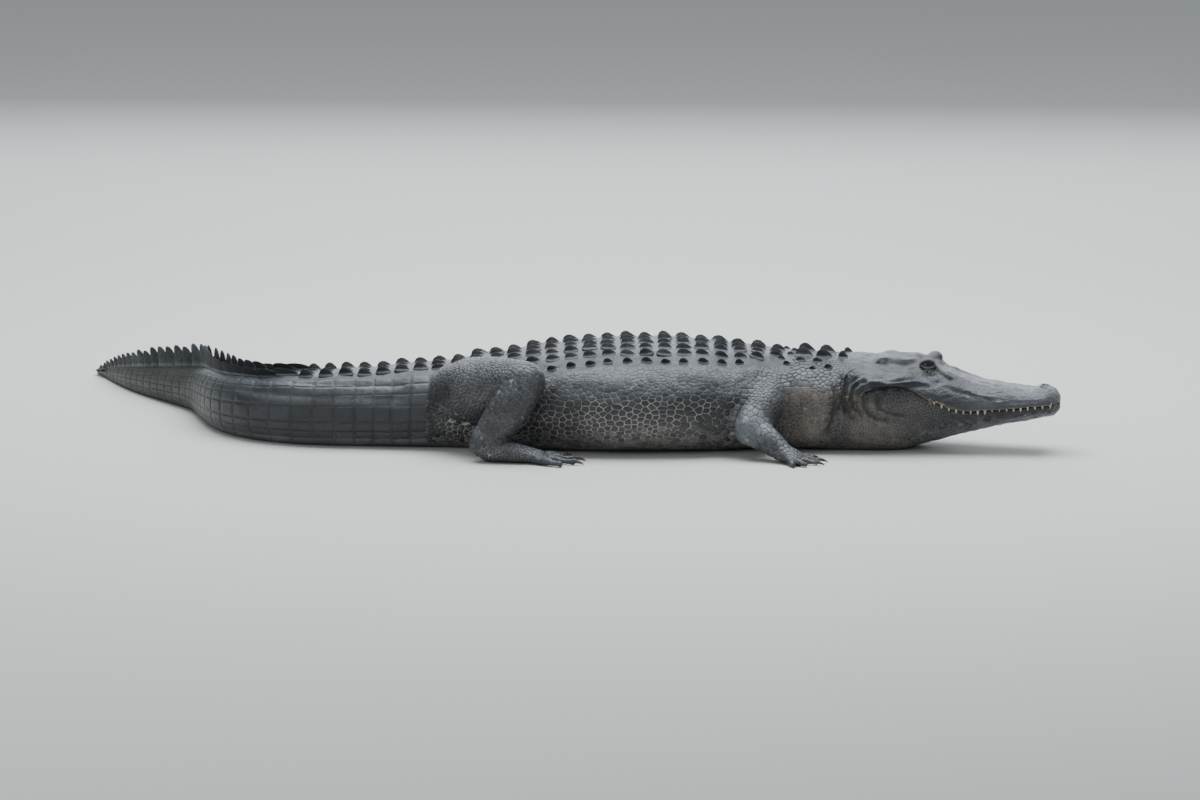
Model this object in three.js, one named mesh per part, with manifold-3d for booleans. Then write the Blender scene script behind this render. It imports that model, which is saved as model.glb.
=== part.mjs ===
// A life-size American alligator, lying on its belly with its tail swung away to its left.
// Millimetres, +Z up, head towards +X, the animal's right side towards -Y.
// The body is described by "run", the distance along the spine from the vent: positive towards the snout,
// negative towards the tip of the tail. Head sizes are told by "back", the distance behind the snout's tip.
import * as THREE from "three";
import { mergeVertices } from "three/addons/utils/BufferGeometryUtils.js";
import Module from "manifold-3d";

const wasm = await Module();
wasm.setup();

// Driving dimensions
const SNOUT_RUN = 1758;
const HEAD_LENGTH = 580;
const NECK_END = SNOUT_RUN - HEAD_LENGTH;
const NECK_START = 1000;
const TAIL_LENGTH = 1650;
const JOINT_GAP = 0.4;
const ORIGIN = { x: 379, y: 345.3 };

// Plan of the spine, in degrees of turn away from straight ahead
const HEAD_TURN = 12;
const TAIL_SWING = 74;
const TAIL_RECOVER = 18;
const TAIL_TIP_TURN = 12;

// Scale rows
const WHORL = 52;
const PLATE_LENGTH = 42;
const PLATE_WIDTH = 41;
const PLATE_RISE = 13;
const PLATE_SUNK = 7;
const DORSAL_ROWS = 17;
const CREST_MERGE = -905;
const CREST_SEED = 23;
const BACK_SEED = 11;
const TEETH_SEED = 5;

const rad = (degrees) => (degrees * Math.PI) / 180;
const clamp = (x, low, high) => Math.min(high, Math.max(low, x));
const mix = (a, b, t) => a + (b - a) * t;
const bell = (x, centre, width) => Math.exp(-(((x - centre) / width) ** 2));
const signed = (x, power) => Math.sign(x) * Math.abs(x) ** power;
const vec = (x, y, z) => new THREE.Vector3(x, y, z);

function ease(x, from, to) {
  const t = clamp((x - from) / (to - from), 0, 1);
  return t * t * (3 - 2 * t);
}

// A smooth curve through [x, value] pairs
function curve(knots) {
  const slope = (i) => {
    const a = knots[Math.max(0, i - 1)];
    const b = knots[Math.min(knots.length - 1, i + 1)];
    return (b[1] - a[1]) / (b[0] - a[0]);
  };
  return (x) => {
    const at = clamp(x, knots[0][0], knots[knots.length - 1][0]);
    let i = 0;
    while (i < knots.length - 2 && at > knots[i + 1][0]) i++;
    const [x0, y0] = knots[i];
    const [x1, y1] = knots[i + 1];
    const wide = x1 - x0;
    const t = (at - x0) / wide;
    const rise = t * t * (3 - 2 * t);
    const start = t * (1 - t) * (1 - t) * wide * slope(i);
    const end = t * t * (t - 1) * wide * slope(i + 1);
    return y0 + (y1 - y0) * rise + start + end;
  };
}

// A seeded draw between -1 and 1, for the small differences between like scutes
function draws(seed) {
  let state = seed;
  return () => {
    state = (state * 1664525 + 1013904223) % 4294967296;
    return (state / 4294967296) * 2 - 1;
  };
}

// Spine: the way ahead at each run, and the points it passes
function turnAt(run) {
  const swing = TAIL_SWING * ease(-run, 180, 760);
  const recover = TAIL_RECOVER * ease(-run, 860, 1020);
  const tip = TAIL_TIP_TURN * ease(-run, 1150, 1500);
  return rad(-HEAD_TURN * ease(run, 860, 1080) - swing + recover - tip);
}

const SPINE_STEP = 5;
function tracePath() {
  const points = new Map([[0, vec(0, 0, 0)]]);
  for (const way of [1, -1]) {
    const at = vec(0, 0, 0);
    const last = way > 0 ? SNOUT_RUN + SPINE_STEP : TAIL_LENGTH + SPINE_STEP;
    for (let k = 0; k * SPINE_STEP < last; k++) {
      const turn = turnAt(way * (k + 0.5) * SPINE_STEP);
      at.x += way * SPINE_STEP * Math.cos(turn);
      at.y += way * SPINE_STEP * Math.sin(turn);
      points.set(way * (k + 1), at.clone());
    }
  }
  return points;
}
const SPINE = tracePath();

// The point at a run, across to the left and up, before the origin is set
function place(run, left, up) {
  const k = Math.floor(run / SPINE_STEP);
  const at = SPINE.get(k).clone().lerp(SPINE.get(k + 1), run / SPINE_STEP - k);
  const turn = turnAt(run);
  return vec(at.x - Math.sin(turn) * left - ORIGIN.x, at.y + Math.cos(turn) * left - ORIGIN.y, up);
}

// Body sizes along the run: height of the back, half of the width, and how square the back is
const backHeight = curve([
  [-1650, 9], [-1500, 40], [-1300, 74], [-1100, 103], [-900, 131], [-600, 168], [-390, 190], [-150, 207],
  [0, 220], [170, 243], [300, 264], [450, 279], [600, 284], [780, 277], [900, 265], [1000, 253], [1100, 250],
  [1178, 255],
]);
const halfWidth = curve([
  [-1650, 4], [-1500, 13], [-1300, 25], [-1100, 38], [-900, 53], [-600, 78], [-390, 101], [-150, 130],
  [0, 150], [170, 186], [300, 232], [450, 270], [600, 281], [780, 262], [900, 224], [1000, 184], [1090, 186],
  [1178, 170],
]);
const squareness = curve([
  [-1650, 2], [-1000, 2.1], [-800, 2.6], [-300, 2.8], [0, 2.6], [300, 2.5], [900, 2.4], [1178, 2.3],
]);
const FLANK_LEVEL = 0.42;
const BELLY_SINK = 0.12;
const BELLY_POWER = 0.85;

// One point of the body's outline: angle 0 is the left flank, a quarter turn is the back
function outline(run, angle, grow = 0) {
  const top = backHeight(run);
  const level = FLANK_LEVEL * top;
  const power = 2 / squareness(run);
  const left = (halfWidth(run) + grow) * signed(Math.cos(angle), power);
  if (Math.sin(angle) >= 0) return [left, level + (top - level + grow) * Math.sin(angle) ** power];
  const deep = level * (1 + BELLY_SINK) + grow;
  return [left, Math.max(-grow, level - deep * (-Math.sin(angle)) ** BELLY_POWER)];
}

// Height of the back at a distance to the left of the spine
function backAt(run, left) {
  const top = backHeight(run);
  const level = FLANK_LEVEL * top;
  const n = squareness(run);
  const share = clamp(Math.abs(left) / halfWidth(run), 0, 0.999);
  return level + (top - level) * (1 - share ** n) ** (1 / n);
}

// Solids
function solidOf(geometry) {
  const bare = new THREE.BufferGeometry();
  bare.setAttribute("position", geometry.getAttribute("position"));
  if (geometry.index) bare.setIndex(geometry.index);
  const merged = mergeVertices(bare, 1e-3);
  const vertProperties = new Float32Array(merged.attributes.position.array);
  const triVerts = new Uint32Array(merged.index.array);
  const made = new wasm.Manifold(new wasm.Mesh({ numProp: 3, vertProperties, triVerts }));
  if (made.volume() >= 0) return made;
  for (let i = 0; i < triVerts.length; i += 3) triVerts.subarray(i, i + 3).reverse();
  return new wasm.Manifold(new wasm.Mesh({ numProp: 3, vertProperties, triVerts }));
}

function solidFrom(points, faces) {
  const geometry = new THREE.BufferGeometry().setFromPoints(points);
  geometry.setIndex(faces.flat());
  return solidOf(geometry);
}

function joined(solids) {
  return solids.reduce((whole, piece) => whole.add(piece));
}

function largest(solid) {
  return solid.decompose().reduce((a, b) => (a.volume() > b.volume() ? a : b));
}

// A closed body through rings of points, each end shut by a fan round its middle
function loft(rings) {
  const count = rings[0].length;
  const points = rings.flat();
  const faces = [];
  for (let r = 0; r + 1 < rings.length; r++)
    for (let i = 0; i < count; i++) {
      const a = r * count + i;
      const b = r * count + ((i + 1) % count);
      faces.push([a, b, b + count], [a, b + count, a + count]);
    }
  for (const r of [0, rings.length - 1]) {
    const middle = rings[r].reduce((sum, p) => sum.add(p), vec(0, 0, 0)).divideScalar(count);
    points.push(middle);
    for (let i = 0; i < count; i++) {
      const a = r * count + i;
      const b = r * count + ((i + 1) % count);
      faces.push(r ? [points.length - 1, a, b] : [points.length - 1, b, a]);
    }
  }
  return solidFrom(points, faces);
}

function spread(from, to, count) {
  return Array.from({ length: count + 1 }, (_, i) => mix(from, to, i / count));
}

// A length of the body between two runs
function bodyLength(from, to, rings, sides, grow = 0) {
  const angles = spread(0, 2 * Math.PI, sides).slice(0, -1);
  const ring = (run) =>
    angles.map((angle) => {
      const [left, up] = outline(run, angle, grow);
      return place(run, left, up);
    });
  return loft(spread(from - grow, to + grow, rings).map(ring));
}

// What of a solid lies between two runs, so that no plate's root reaches into the next node
function between(solid, from, to) {
  const cut = (made, run, way) => {
    const turn = turnAt(run);
    const normal = [way * Math.cos(turn), way * Math.sin(turn), 0];
    const at = place(run, 0, 0);
    return made.trimByPlane(normal, normal[0] * at.x + normal[1] * at.y);
  };
  return cut(cut(solid, from, 1), to, -1);
}

// A ball with its middle at a point
const BALL_ROUND = 12;
function ball(at, radius, stretch = vec(1, 1, 1)) {
  const geometry = new THREE.SphereGeometry(radius, BALL_ROUND, (2 * BALL_ROUND) / 3);
  geometry.scale(stretch.x, stretch.y, stretch.z);
  geometry.translate(at.x, at.y, at.z);
  return solidOf(geometry);
}

// A limb through stations, each { at, wide, tall }, with rings that stay square to its line. Its end is
// flat, or rounded by rings at the angles given
const LEG = { sides: 12, steps: 2, rounding: [0, 38, 70] };
const TOE = { sides: 6, steps: 1, rounding: [0] };
function limb(stations, grow = 0, { sides, steps, rounding } = LEG) {
  const line = new THREE.CatmullRomCurve3(stations.map((s) => s.at), false, "centripetal");
  const last = stations.length - 1;
  const wide = curve(stations.map((s, i) => [i / last, s.wide + grow]));
  const tall = curve(stations.map((s, i) => [i / last, s.tall + grow]));
  const ring = (t, angle = 0) => {
    const ahead = line.getTangent(t);
    const side = vec(0, 0, 1).cross(ahead).normalize();
    const over = ahead.clone().cross(side);
    const reach = t === 1 ? grow + tall(t) * Math.sin(rad(angle)) : 0;
    const slim = Math.cos(rad(angle));
    return spread(0, 2 * Math.PI, sides)
      .slice(0, -1)
      .map((a) => {
        const p = line.getPoint(t).addScaledVector(ahead, reach);
        p.addScaledVector(side, slim * wide(t) * Math.cos(a));
        p.addScaledVector(over, slim * tall(t) * Math.sin(a));
        p.z = Math.max(p.z, -grow);
        return p;
      });
  };
  const along = spread(0, 1, last * steps).slice(0, -1);
  return loft([...along.map((t) => ring(t)), ...rounding.map((angle) => ring(1, angle))]);
}

// Scutes
// The frame at a point of the back: where it is, the way ahead along the skin, and the way out of it
const NUDGE = { ahead: 8, across: 4 };
function skinFrame(run, left) {
  const at = place(run, left, backAt(run, left));
  const onward = run + NUDGE.ahead;
  const ahead = place(onward, left, backAt(onward, left)).sub(at).normalize();
  const nudge = left > 0 ? -NUDGE.across : NUDGE.across;
  const across = place(run, left + nudge, backAt(run, left + nudge)).sub(at).normalize();
  const out = across.cross(ahead).normalize();
  if (out.z < 0) out.negate();
  return { at, ahead, out, side: out.clone().cross(ahead) };
}

function inFrame({ at, ahead, out, side }, forward, sideways, up) {
  return at.clone().addScaledVector(ahead, forward).addScaledVector(side, sideways).addScaledVector(out, up);
}

// A six-sided plate whose keel rises towards its rear. Places are shares of its length, width and rise
const FOOT_SPREAD = 1.45;
const PLATE_RIM = [[1, 0.55], [-0.1, 1], [-1, 0.6], [-1, -0.6], [-0.1, -1], [1, -0.55]];
const PLATE_KEEL = [[0.42, 0.25], [-0.22, 1]];
function plate(frame, length, width, rise) {
  const foot = Math.min((rise + PLATE_SUNK) / rise, FOOT_SPREAD);
  const long = (length / 2) * foot;
  const wide = (width / 2) * foot;
  const rim = PLATE_RIM.map(([f, s]) => inFrame(frame, f * long, s * wide, -PLATE_SUNK));
  const keel = PLATE_KEEL.map(([f, u]) => inFrame(frame, f * length, 0, u * rise));
  const faces = [
    [0, 1, 7], [1, 2, 7], [2, 3, 7], [3, 4, 7], [4, 5, 7], [0, 7, 6], [7, 5, 6], [5, 0, 6],
    [0, 5, 1], [1, 5, 4], [1, 4, 2], [2, 4, 3],
  ];
  return solidFrom([...rim, ...keel], faces);
}

// An upright blade of the tail's crest, leaning back. Places are shares of its length, thickness and rise
const BLADE_SUNK = 9;
const BLADE_BASE = [[0.56, 0.5], [-0.5, 0.5], [-0.5, -0.5], [0.56, -0.5]];
const BLADE_SHOULDER = { ahead: 0.08, thick: 0.3, up: 0.68, lean: 0.6 };
const BLADE_TIP = { ahead: -0.42, thick: 0.13, up: 1, lean: 1 };
function blade(frame, length, thick, rise, lean) {
  const base = BLADE_BASE.map(([f, s]) => inFrame(frame, f * length, s * thick, -BLADE_SUNK));
  const edge = (part) =>
    [1, -1].map((way) =>
      inFrame(frame, part.ahead * length, way * part.thick * thick + part.lean * lean, part.up * rise),
    );
  const shoulder = edge(BLADE_SHOULDER);
  const tip = edge(BLADE_TIP);
  const faces = [
    [0, 1, 6], [0, 6, 4], [3, 7, 2], [3, 5, 7], [0, 4, 5], [0, 5, 3], [4, 6, 7], [4, 7, 5],
    [1, 2, 7], [1, 7, 6], [0, 3, 2], [0, 2, 1],
  ];
  return solidFrom([...base, ...shoulder, ...tip], faces);
}

// Rows of the back's plates: each a distance from the spine, with the runs between which it grows
const rowSpread = curve([[-400, 0.5], [0, 0.74], [170, 0.86], [350, 1], [700, 1], [850, 0.86], [1000, 0.62]]);
const BACK_ROWS = [
  { left: 27, from: 0, to: 1000, size: 1 },
  { left: 79, from: 0, to: 960, size: 1 },
  { left: 132, from: 60, to: 900, size: 0.92 },
];
const ROW_START = 0.55;
const PLATE_VARY = 0.09;
const LOW_RISE = 0.8;

function backPlates(grow = 0) {
  const draw = draws(BACK_SEED);
  const plates = [];
  for (let k = 0; k <= DORSAL_ROWS; k++)
    for (const row of BACK_ROWS)
      for (const side of [-1, 1]) {
        const run = (k + ROW_START) * WHORL;
        const vary = 1 + PLATE_VARY * draw();
        if (run < row.from || run > row.to) continue;
        const left = side * row.left * rowSpread(run);
        const length = PLATE_LENGTH * row.size * vary + 2 * grow;
        const width = PLATE_WIDTH * rowSpread(run) * row.size * vary + 2 * grow;
        const rise = PLATE_RISE * mix(LOW_RISE, 1, row.size) * vary + 2 * grow;
        plates.push(plate(skinFrame(run, left), length, width, rise));
      }
  return plates;
}

// Neck scutes: the four large ones, the small pair behind them, the pair behind the skull, and the knobs
const NECK_PLATES = [
  { run: 1045, left: 30, length: 50, width: 44, rise: 22 },
  { run: 1103, left: 30, length: 48, width: 44, rise: 21 },
  { run: 1093, left: 76, length: 34, width: 26, rise: 12 },
  { run: 1158, left: 40, length: 30, width: 26, rise: 15 },
  { run: 1130, left: 106, length: 26, width: 20, rise: 9 },
];

function neckPlates() {
  return NECK_PLATES.flatMap(({ run, left, length, width, rise }) =>
    [-1, 1].map((side) => plate(skinFrame(run, side * left), length, width, rise)),
  );
}

// Tail whorls: runs at which a ring of scales is centred
const whorlPitch = curve([[-1650, 31], [-1300, 40], [-900, 48], [0, WHORL]]);
const TIP_BARE = 12;
function tailWhorls() {
  const runs = [];
  let run = (ROW_START - 1) * WHORL;
  while (run > TIP_BARE - TAIL_LENGTH) {
    runs.push(run);
    run -= whorlPitch(run);
  }
  return runs;
}
const WHORLS = tailWhorls();

const crestLeft = curve([[CREST_MERGE, 0], [-800, 15], [-600, 32], [-390, 47], [-100, 56], [0, 58]]);
const crestRise = curve([
  [-1650, 8], [-1500, 26], [-1250, 48], [-950, 62], [-820, 54], [-600, 34], [-400, 22], [-150, 15], [0, 13],
]);

// The crest of one tail whorl: a pair of blades, or a single one past the merge
const CREST = {
  vary: 0.08, long: 0.86, thick: 0.32, thickness: [7, 15], single: 0.8,
  plateWidth: 30, plateBelow: 20, lean: 0.18, upright: 0.5,
};
function crest(run, draw, grow = 0) {
  const rise = crestRise(run) * (1 + CREST.vary * draw()) + 2 * grow;
  const length = whorlPitch(run) * CREST.long + 2 * grow;
  const thick = clamp(rise * CREST.thick, ...CREST.thickness);
  if (run < CREST_MERGE) return [blade(skinFrame(run, 0), length, thick * CREST.single, rise, 0)];
  return [-1, 1].map((side) => {
    const frame = skinFrame(run, side * crestLeft(run));
    frame.out.lerp(vec(0, 0, 1), CREST.upright).normalize();
    if (rise < CREST.plateBelow) return plate(frame, length, CREST.plateWidth, rise);
    return blade(frame, length, thick, rise, side * rise * CREST.lean);
  });
}

// The tail is parted between whorls
const TAIL_PARTS = ["tail_base", "tail_fore", "tail_middle", "tail_rear", "tail_tip"];
const WHORLS_BEFORE_CUT = [6, 12, 18, 26];
const TAIL_CUTS = [0, ...WHORLS_BEFORE_CUT.map((k) => (WHORLS[k - 1] + WHORLS[k]) / 2), -TAIL_LENGTH];

// Head sizes by the distance behind the snout's tip
const lipHalf = curve([
  [0, 26], [6, 46], [16, 62], [35, 77], [65, 87], [100, 88], [135, 87], [175, 93], [215, 98], [260, 105],
  [310, 117], [358, 131], [400, 144], [450, 156], [500, 163], [545, 166], [580, 164],
]);
const mouthLevel = curve([
  [0, 141], [56, 139], [100, 132], [139, 129], [200, 124], [252, 122], [279, 128], [307, 138], [348, 155],
  [371, 167], [398, 184], [433, 195], [480, 187], [522, 176], [580, 160],
]);
const crownLevel = curve([
  [0, 160], [14, 174], [40, 178], [77, 176], [120, 181], [172, 188], [222, 194], [270, 206], [310, 220],
  [358, 234], [400, 240], [450, 243], [500, 246], [580, 255],
]);
const crownSquare = curve([
  [0, 2.2], [60, 2.7], [200, 2.6], [300, 2.2], [360, 1.9], [430, 1.7], [510, 1.8], [580, 2.3],
]);
const chinLevel = curve([
  [0, 118], [12, 104], [40, 97], [100, 85], [160, 72], [230, 54], [300, 34], [370, 14], [430, -6], [580, -14],
]);
const LIP_INSET = 12;
const EYE = { back: 360, left: 58, up: 238, radius: 20 };
const NOSTRIL = { back: 44, left: 17, radius: 9, stretch: vec(1.25, 0.75, 0.9) };
const TABLE = { half: 66, edge: 9, rise: 15, dip: 5, starts: [372, 408], ends: [492, 512] };
const BROW = { rise: 12, behind: 16, long: 34, from: 8, full: 40, edge: 20, end: 6 };
const RIDGE = { rise: 8, back: 285, long: 48, left: 46, wide: 13 };
const NOSE = { rise: 5, long: 26, wide: 20 };

// What stands up from the plain dome of the head: skull table, eye ridges, snout ridges, nose
function headRise(back, left) {
  const across = Math.abs(left);
  const tableLong = ease(back, ...TABLE.starts) * (1 - ease(back, ...TABLE.ends));
  const table = TABLE.rise * (1 - ease(across, TABLE.half - TABLE.edge, TABLE.half + TABLE.edge));
  const dip = TABLE.dip * bell(across, 0, TABLE.half / 2);
  const browEnd = ease(across, EYE.left - BROW.edge, EYE.left + BROW.end);
  const brow = BROW.rise * bell(back, EYE.back + BROW.behind, BROW.long) * ease(across, BROW.from, BROW.full);
  const ridge = RIDGE.rise * bell(back, RIDGE.back, RIDGE.long) * bell(across, RIDGE.left, RIDGE.wide);
  const nose = NOSE.rise * bell(back, NOSTRIL.back, NOSE.long) * bell(across, NOSTRIL.left, NOSE.wide);
  return tableLong * (table - dip) + brow * (1 - browEnd) + ridge + nose;
}

function headPlace(back, left, up) {
  return place(SNOUT_RUN - back, left, up);
}

// Angle at which the neck's outline passes a height
function neckAngle(up) {
  const run = NECK_END;
  const level = FLANK_LEVEL * backHeight(run);
  return Math.asin(clamp(((up - level) / (backHeight(run) - level)) ** (squareness(run) / 2), 0, 1));
}

// One point of the skull's outline: 0 is the left lip, 1 the right lip
const HEAD_BLEND = [505, HEAD_LENGTH];
const RISE_FROM = [0.05, 0.5];
function skullPoint(back, share) {
  const angle = Math.PI * share;
  const power = 2 / crownSquare(back);
  const lip = mouthLevel(back);
  const left = lipHalf(back) * signed(Math.cos(angle), power);
  const rise = Math.sin(angle) ** power;
  const up = lip + (crownLevel(back) - lip) * rise + headRise(back, left) * ease(rise, ...RISE_FROM);
  const low = neckAngle(lip);
  const [neckLeft, neckUp] = outline(NECK_END, low + share * (Math.PI - 2 * low));
  const blend = ease(back, ...HEAD_BLEND);
  return headPlace(back, mix(left, neckLeft, blend), mix(up, neckUp, blend));
}

// One point of the lower jaw's outline: 0 is the right lip, 1 the left lip
const JOWL = { swell: 20, back: 480, long: 85 };
const LIP_PARTS = [330, 430];
const SNOUT_SHARE = 0.4;
const JAW_ROUND = 0.85;
function jawPoint(back, share) {
  const angle = Math.PI * share;
  const lip = mouthLevel(back) - JOINT_GAP;
  const inset = LIP_INSET * (1 - ease(back, ...LIP_PARTS));
  const half = lipHalf(back) - Math.min(inset, SNOUT_SHARE * lipHalf(back));
  const jowl = JOWL.swell * bell(back, JOWL.back, JOWL.long) * Math.sin(2 * angle);
  const left = -half * signed(Math.cos(angle), JAW_ROUND) - jowl;
  const up = lip - (lip - chinLevel(back)) * Math.sin(angle) ** JAW_ROUND;
  const low = neckAngle(lip);
  const [neckLeft, neckUp] = outline(NECK_END, Math.PI - low + share * (Math.PI + 2 * low));
  const blend = ease(back, ...HEAD_BLEND);
  return headPlace(back, mix(left, neckLeft, blend), Math.max(0, mix(up, neckUp, blend)));
}

const HEAD_STATIONS = [
  0.5, 5, 14, 28, 44, 60, 80, 104, 132, 162, 194, 226, 256, 284, 308, 328, 344, 360, 376, 390, 404, 425, 450,
  475, 496, 514, 535, 558, HEAD_LENGTH - JOINT_GAP,
];
const SKULL_ARC = 20;
const JAW_ARC = 12;
const FLAT_PARTS = 3;

// One half of the head: rings along an arc from lip to lip, shut by a flat side between the lips
function headHalf(point, arc) {
  const ring = (back) => {
    const curved = spread(0, 1, arc).map((share) => point(back, share));
    const flat = spread(0, 1, FLAT_PARTS).slice(1, -1);
    return [...curved, ...flat.map((share) => curved[arc].clone().lerp(curved[0], share))];
  };
  return loft(HEAD_STATIONS.map(ring));
}

// Lids: a hood over the eyeball, open between two planes that meet behind it
const LID = { thick: 4.5, corner: 6, reach: 40, down: 15, up: 26, width: 60 };
function lids(side) {
  const at = headPlace(EYE.back, side * EYE.left, EYE.up);
  const hood = ball(at, EYE.radius + LID.thick);
  const turn = turnAt(SNOUT_RUN);
  const outward = vec(-Math.sin(turn), Math.cos(turn), 0).multiplyScalar(side);
  const ahead = vec(Math.cos(turn), Math.sin(turn), 0);
  const slit = new THREE.Shape([
    new THREE.Vector2(-LID.corner, 0),
    new THREE.Vector2(LID.reach, -LID.down),
    new THREE.Vector2(LID.reach, LID.up),
  ]);
  const wedge = new THREE.ExtrudeGeometry(slit, { depth: LID.width, bevelEnabled: false });
  wedge.translate(0, 0, -LID.width / 2);
  wedge.applyMatrix4(new THREE.Matrix4().makeBasis(outward, vec(0, 0, 1), ahead));
  wedge.translate(at.x, at.y, at.z);
  return hood.subtract(solidOf(wedge));
}

// A hollow sunk into the top of the snout
function nostril(side) {
  const up = crownLevel(NOSTRIL.back) + NOSE.rise + NOSTRIL.radius / 3;
  return ball(headPlace(NOSTRIL.back, side * NOSTRIL.left, up), NOSTRIL.radius, NOSTRIL.stretch);
}

// Teeth of the upper jaw, which stand outside the closed lower jaw
const TEETH = { first: 18, last: 296, count: 8, radius: 3.6, length: 9, sides: 5, inset: 5, vary: 0.3 };
function teeth() {
  const draw = draws(TEETH_SEED);
  return spread(TEETH.first, TEETH.last, TEETH.count).flatMap((back) => {
    const size = 1 + TEETH.vary * draw();
    return [-1, 1].map((side) => {
      const cone = new THREE.ConeGeometry(TEETH.radius * size, 2 * TEETH.length * size, TEETH.sides);
      cone.rotateX(-Math.PI / 2);
      const root = headPlace(back, side * (lipHalf(back) - TEETH.inset), mouthLevel(back));
      return solidOf(cone.translate(root.x, root.y, root.z));
    });
  });
}

function head() {
  let made = joined([headHalf(skullPoint, SKULL_ARC), lids(1), lids(-1), ...teeth()]);
  for (const side of [-1, 1]) {
    made = made.subtract(ball(headPlace(EYE.back, side * EYE.left, EYE.up), EYE.radius + JOINT_GAP));
    made = made.subtract(nostril(side));
  }
  return largest(made);
}

// Legs: joints by run, distance from the spine and height. The left knee lies lower than the right one
const HIND = {
  right: {
    hip: [105, 95, 140], thigh: [158, 186, 179], knee: [262, 279, 212], shin: [223, 304, 146],
    heel: [152, 312, 48], sole: [225, 322, 26], ball: [306, 330, 17], toes: [292, 330, 0],
  },
  left: {
    hip: [115, 95, 130], thigh: [180, 200, 142], knee: [290, 300, 148], shin: [252, 332, 104],
    heel: [184, 352, 48], sole: [256, 366, 26], ball: [336, 376, 17], toes: [322, 376, 0],
  },
};
const FORE = {
  shoulder: [960, 110, 160], arm: [930, 190, 132], elbow: [890, 268, 82], wrist: [1030, 318, 30],
  palm: [1072, 330, 18], ball: [1093, 334, 12], toes: [1077, 332, 0],
};
const LEFT_ARM_SHIFT = -26;

function joint([run, away, up], side, shift = 0) {
  return place(run + shift, side * away, up);
}

// Toes: turns away from the foot's line and lengths in order from the inner one, of each kind of foot
const TOES = {
  hind: { aim: 6, apart: 17, turns: [28, 9, -9, -27], lengths: [92, 116, 118, 96], girth: 13, claw: 24 },
  front: {
    aim: 14, apart: 15, turns: [58, 27, 2, -24, -50], lengths: [50, 66, 70, 62, 46], girth: 11, claw: 19,
  },
};
const FIRST_TOE_GIRTH = 1.1;
const TOE_ROOT_LIFT = 3;
const TOE_MIDDLE_LIFT = 1.05;
const TOE_END = { wide: 0.62, tall: 0.72 };

// A toe from the foot to the root of its claw, which lies on the floor
function toe(start, aim, length, girth) {
  const along = vec(Math.cos(aim), Math.sin(aim), 0);
  const out = (share, up) => start.clone().addScaledVector(along, length * share).setZ(up);
  const end = out(1, girth * TOE_END.tall);
  const stations = [
    { at: out(0, girth + TOE_ROOT_LIFT), wide: girth, tall: girth },
    { at: out(0.5, girth * TOE_MIDDLE_LIFT), wide: girth, tall: girth },
    { at: end, wide: girth * TOE_END.wide, tall: girth * TOE_END.tall },
  ];
  return { stations, end, along, girth };
}

// A claw that starts where its toe ends and curves down to the floor. Its girths are shares of the toe's
const CLAW = {
  root: { back: 2, wide: 0.5, tall: 0.6 },
  bend: { share: 0.55, up: 0.68, wide: 0.34, tall: 0.4 },
  point: { up: 1.6, wide: 0.9, tall: 1.2 },
};
function claw(owner, length) {
  const { end, along, girth } = owner;
  const { root, bend, point } = CLAW;
  const out = (distance, up) => end.clone().addScaledVector(along, distance).setZ(up);
  const stations = [
    { at: out(-root.back, end.z), wide: girth * root.wide, tall: girth * root.tall },
    { at: out(length * bend.share, girth * bend.up), wide: girth * bend.wide, tall: girth * bend.tall },
    { at: out(length, point.up), wide: point.wide, tall: point.tall },
  ];
  return limb(stations, 0, TOE).subtract(limb(owner.stations, JOINT_GAP, TOE));
}

function toesOf(kind, side, centre, aim) {
  const { turns, lengths, girth, apart } = TOES[kind];
  return turns.map((turn, i) => {
    const aside = (turns.length - 1) / 2 - i;
    const across = vec(-Math.sin(aim), Math.cos(aim), 0).multiplyScalar(-side * aside * apart);
    const size = i === 0 ? FIRST_TOE_GIRTH * girth : girth;
    return toe(centre.clone().add(across), aim - side * rad(turn), lengths[i], size);
  });
}

// A web between two toes: a thin plate over the floor, hollowed between their tips
const WEB = { low: 3, high: 8.5, reach: 0.62, hollow: 0.14 };
const WEB_CORNERS = 5;
const WEB_FACES = [[0, 1, 2], [0, 2, 4], [2, 3, 4], [5, 7, 6], [5, 9, 7], [7, 9, 8]];
function web(a, b) {
  const [rootA, rootB] = [a.stations[0].at, b.stations[0].at];
  const tipA = rootA.clone().lerp(a.end, WEB.reach);
  const tipB = rootB.clone().lerp(b.end, WEB.reach);
  const hollow = tipA.clone().lerp(tipB, 0.5).lerp(rootA, WEB.hollow);
  const corners = [rootA, tipA, hollow, tipB, rootB];
  const points = [WEB.low, WEB.high].flatMap((up) => corners.map((p) => p.clone().setZ(up)));
  const walls = corners.flatMap((_, i) => {
    const j = (i + 1) % WEB_CORNERS;
    return [[i, i + WEB_CORNERS, j + WEB_CORNERS], [i, j + WEB_CORNERS, j]];
  });
  return solidFrom(points, [...WEB_FACES, ...walls]);
}

// The whole body grown by the joints' gap, to clear the legs from it
const BODY = { sides: 24, tailSides: 16, torsoRings: 15, neckRings: 4, tailBaseRings: 5 };
const TORSO_GROWN = bodyLength(0, NECK_START, BODY.torsoRings, BODY.sides, JOINT_GAP);
const NECK_GROWN = bodyLength(NECK_START, NECK_END, BODY.neckRings, BODY.sides, JOINT_GAP);
const TAIL_GROWN = bodyLength(TAIL_CUTS[1], 0, BODY.tailBaseRings, BODY.tailSides, JOINT_GAP);
const TAIL_ROOT_CRESTS = WHORLS.filter((run) => run > TAIL_CUTS[1]);

const grownDraw = draws(CREST_SEED);
const BODY_GROWN = joined([
  TORSO_GROWN,
  NECK_GROWN,
  TAIL_GROWN,
  ...backPlates(JOINT_GAP),
  ...TAIL_ROOT_CRESTS.flatMap((run) => crest(run, grownDraw, JOINT_GAP)),
]);

function clearOfBody(solid) {
  return solid.subtract(BODY_GROWN);
}

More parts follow.
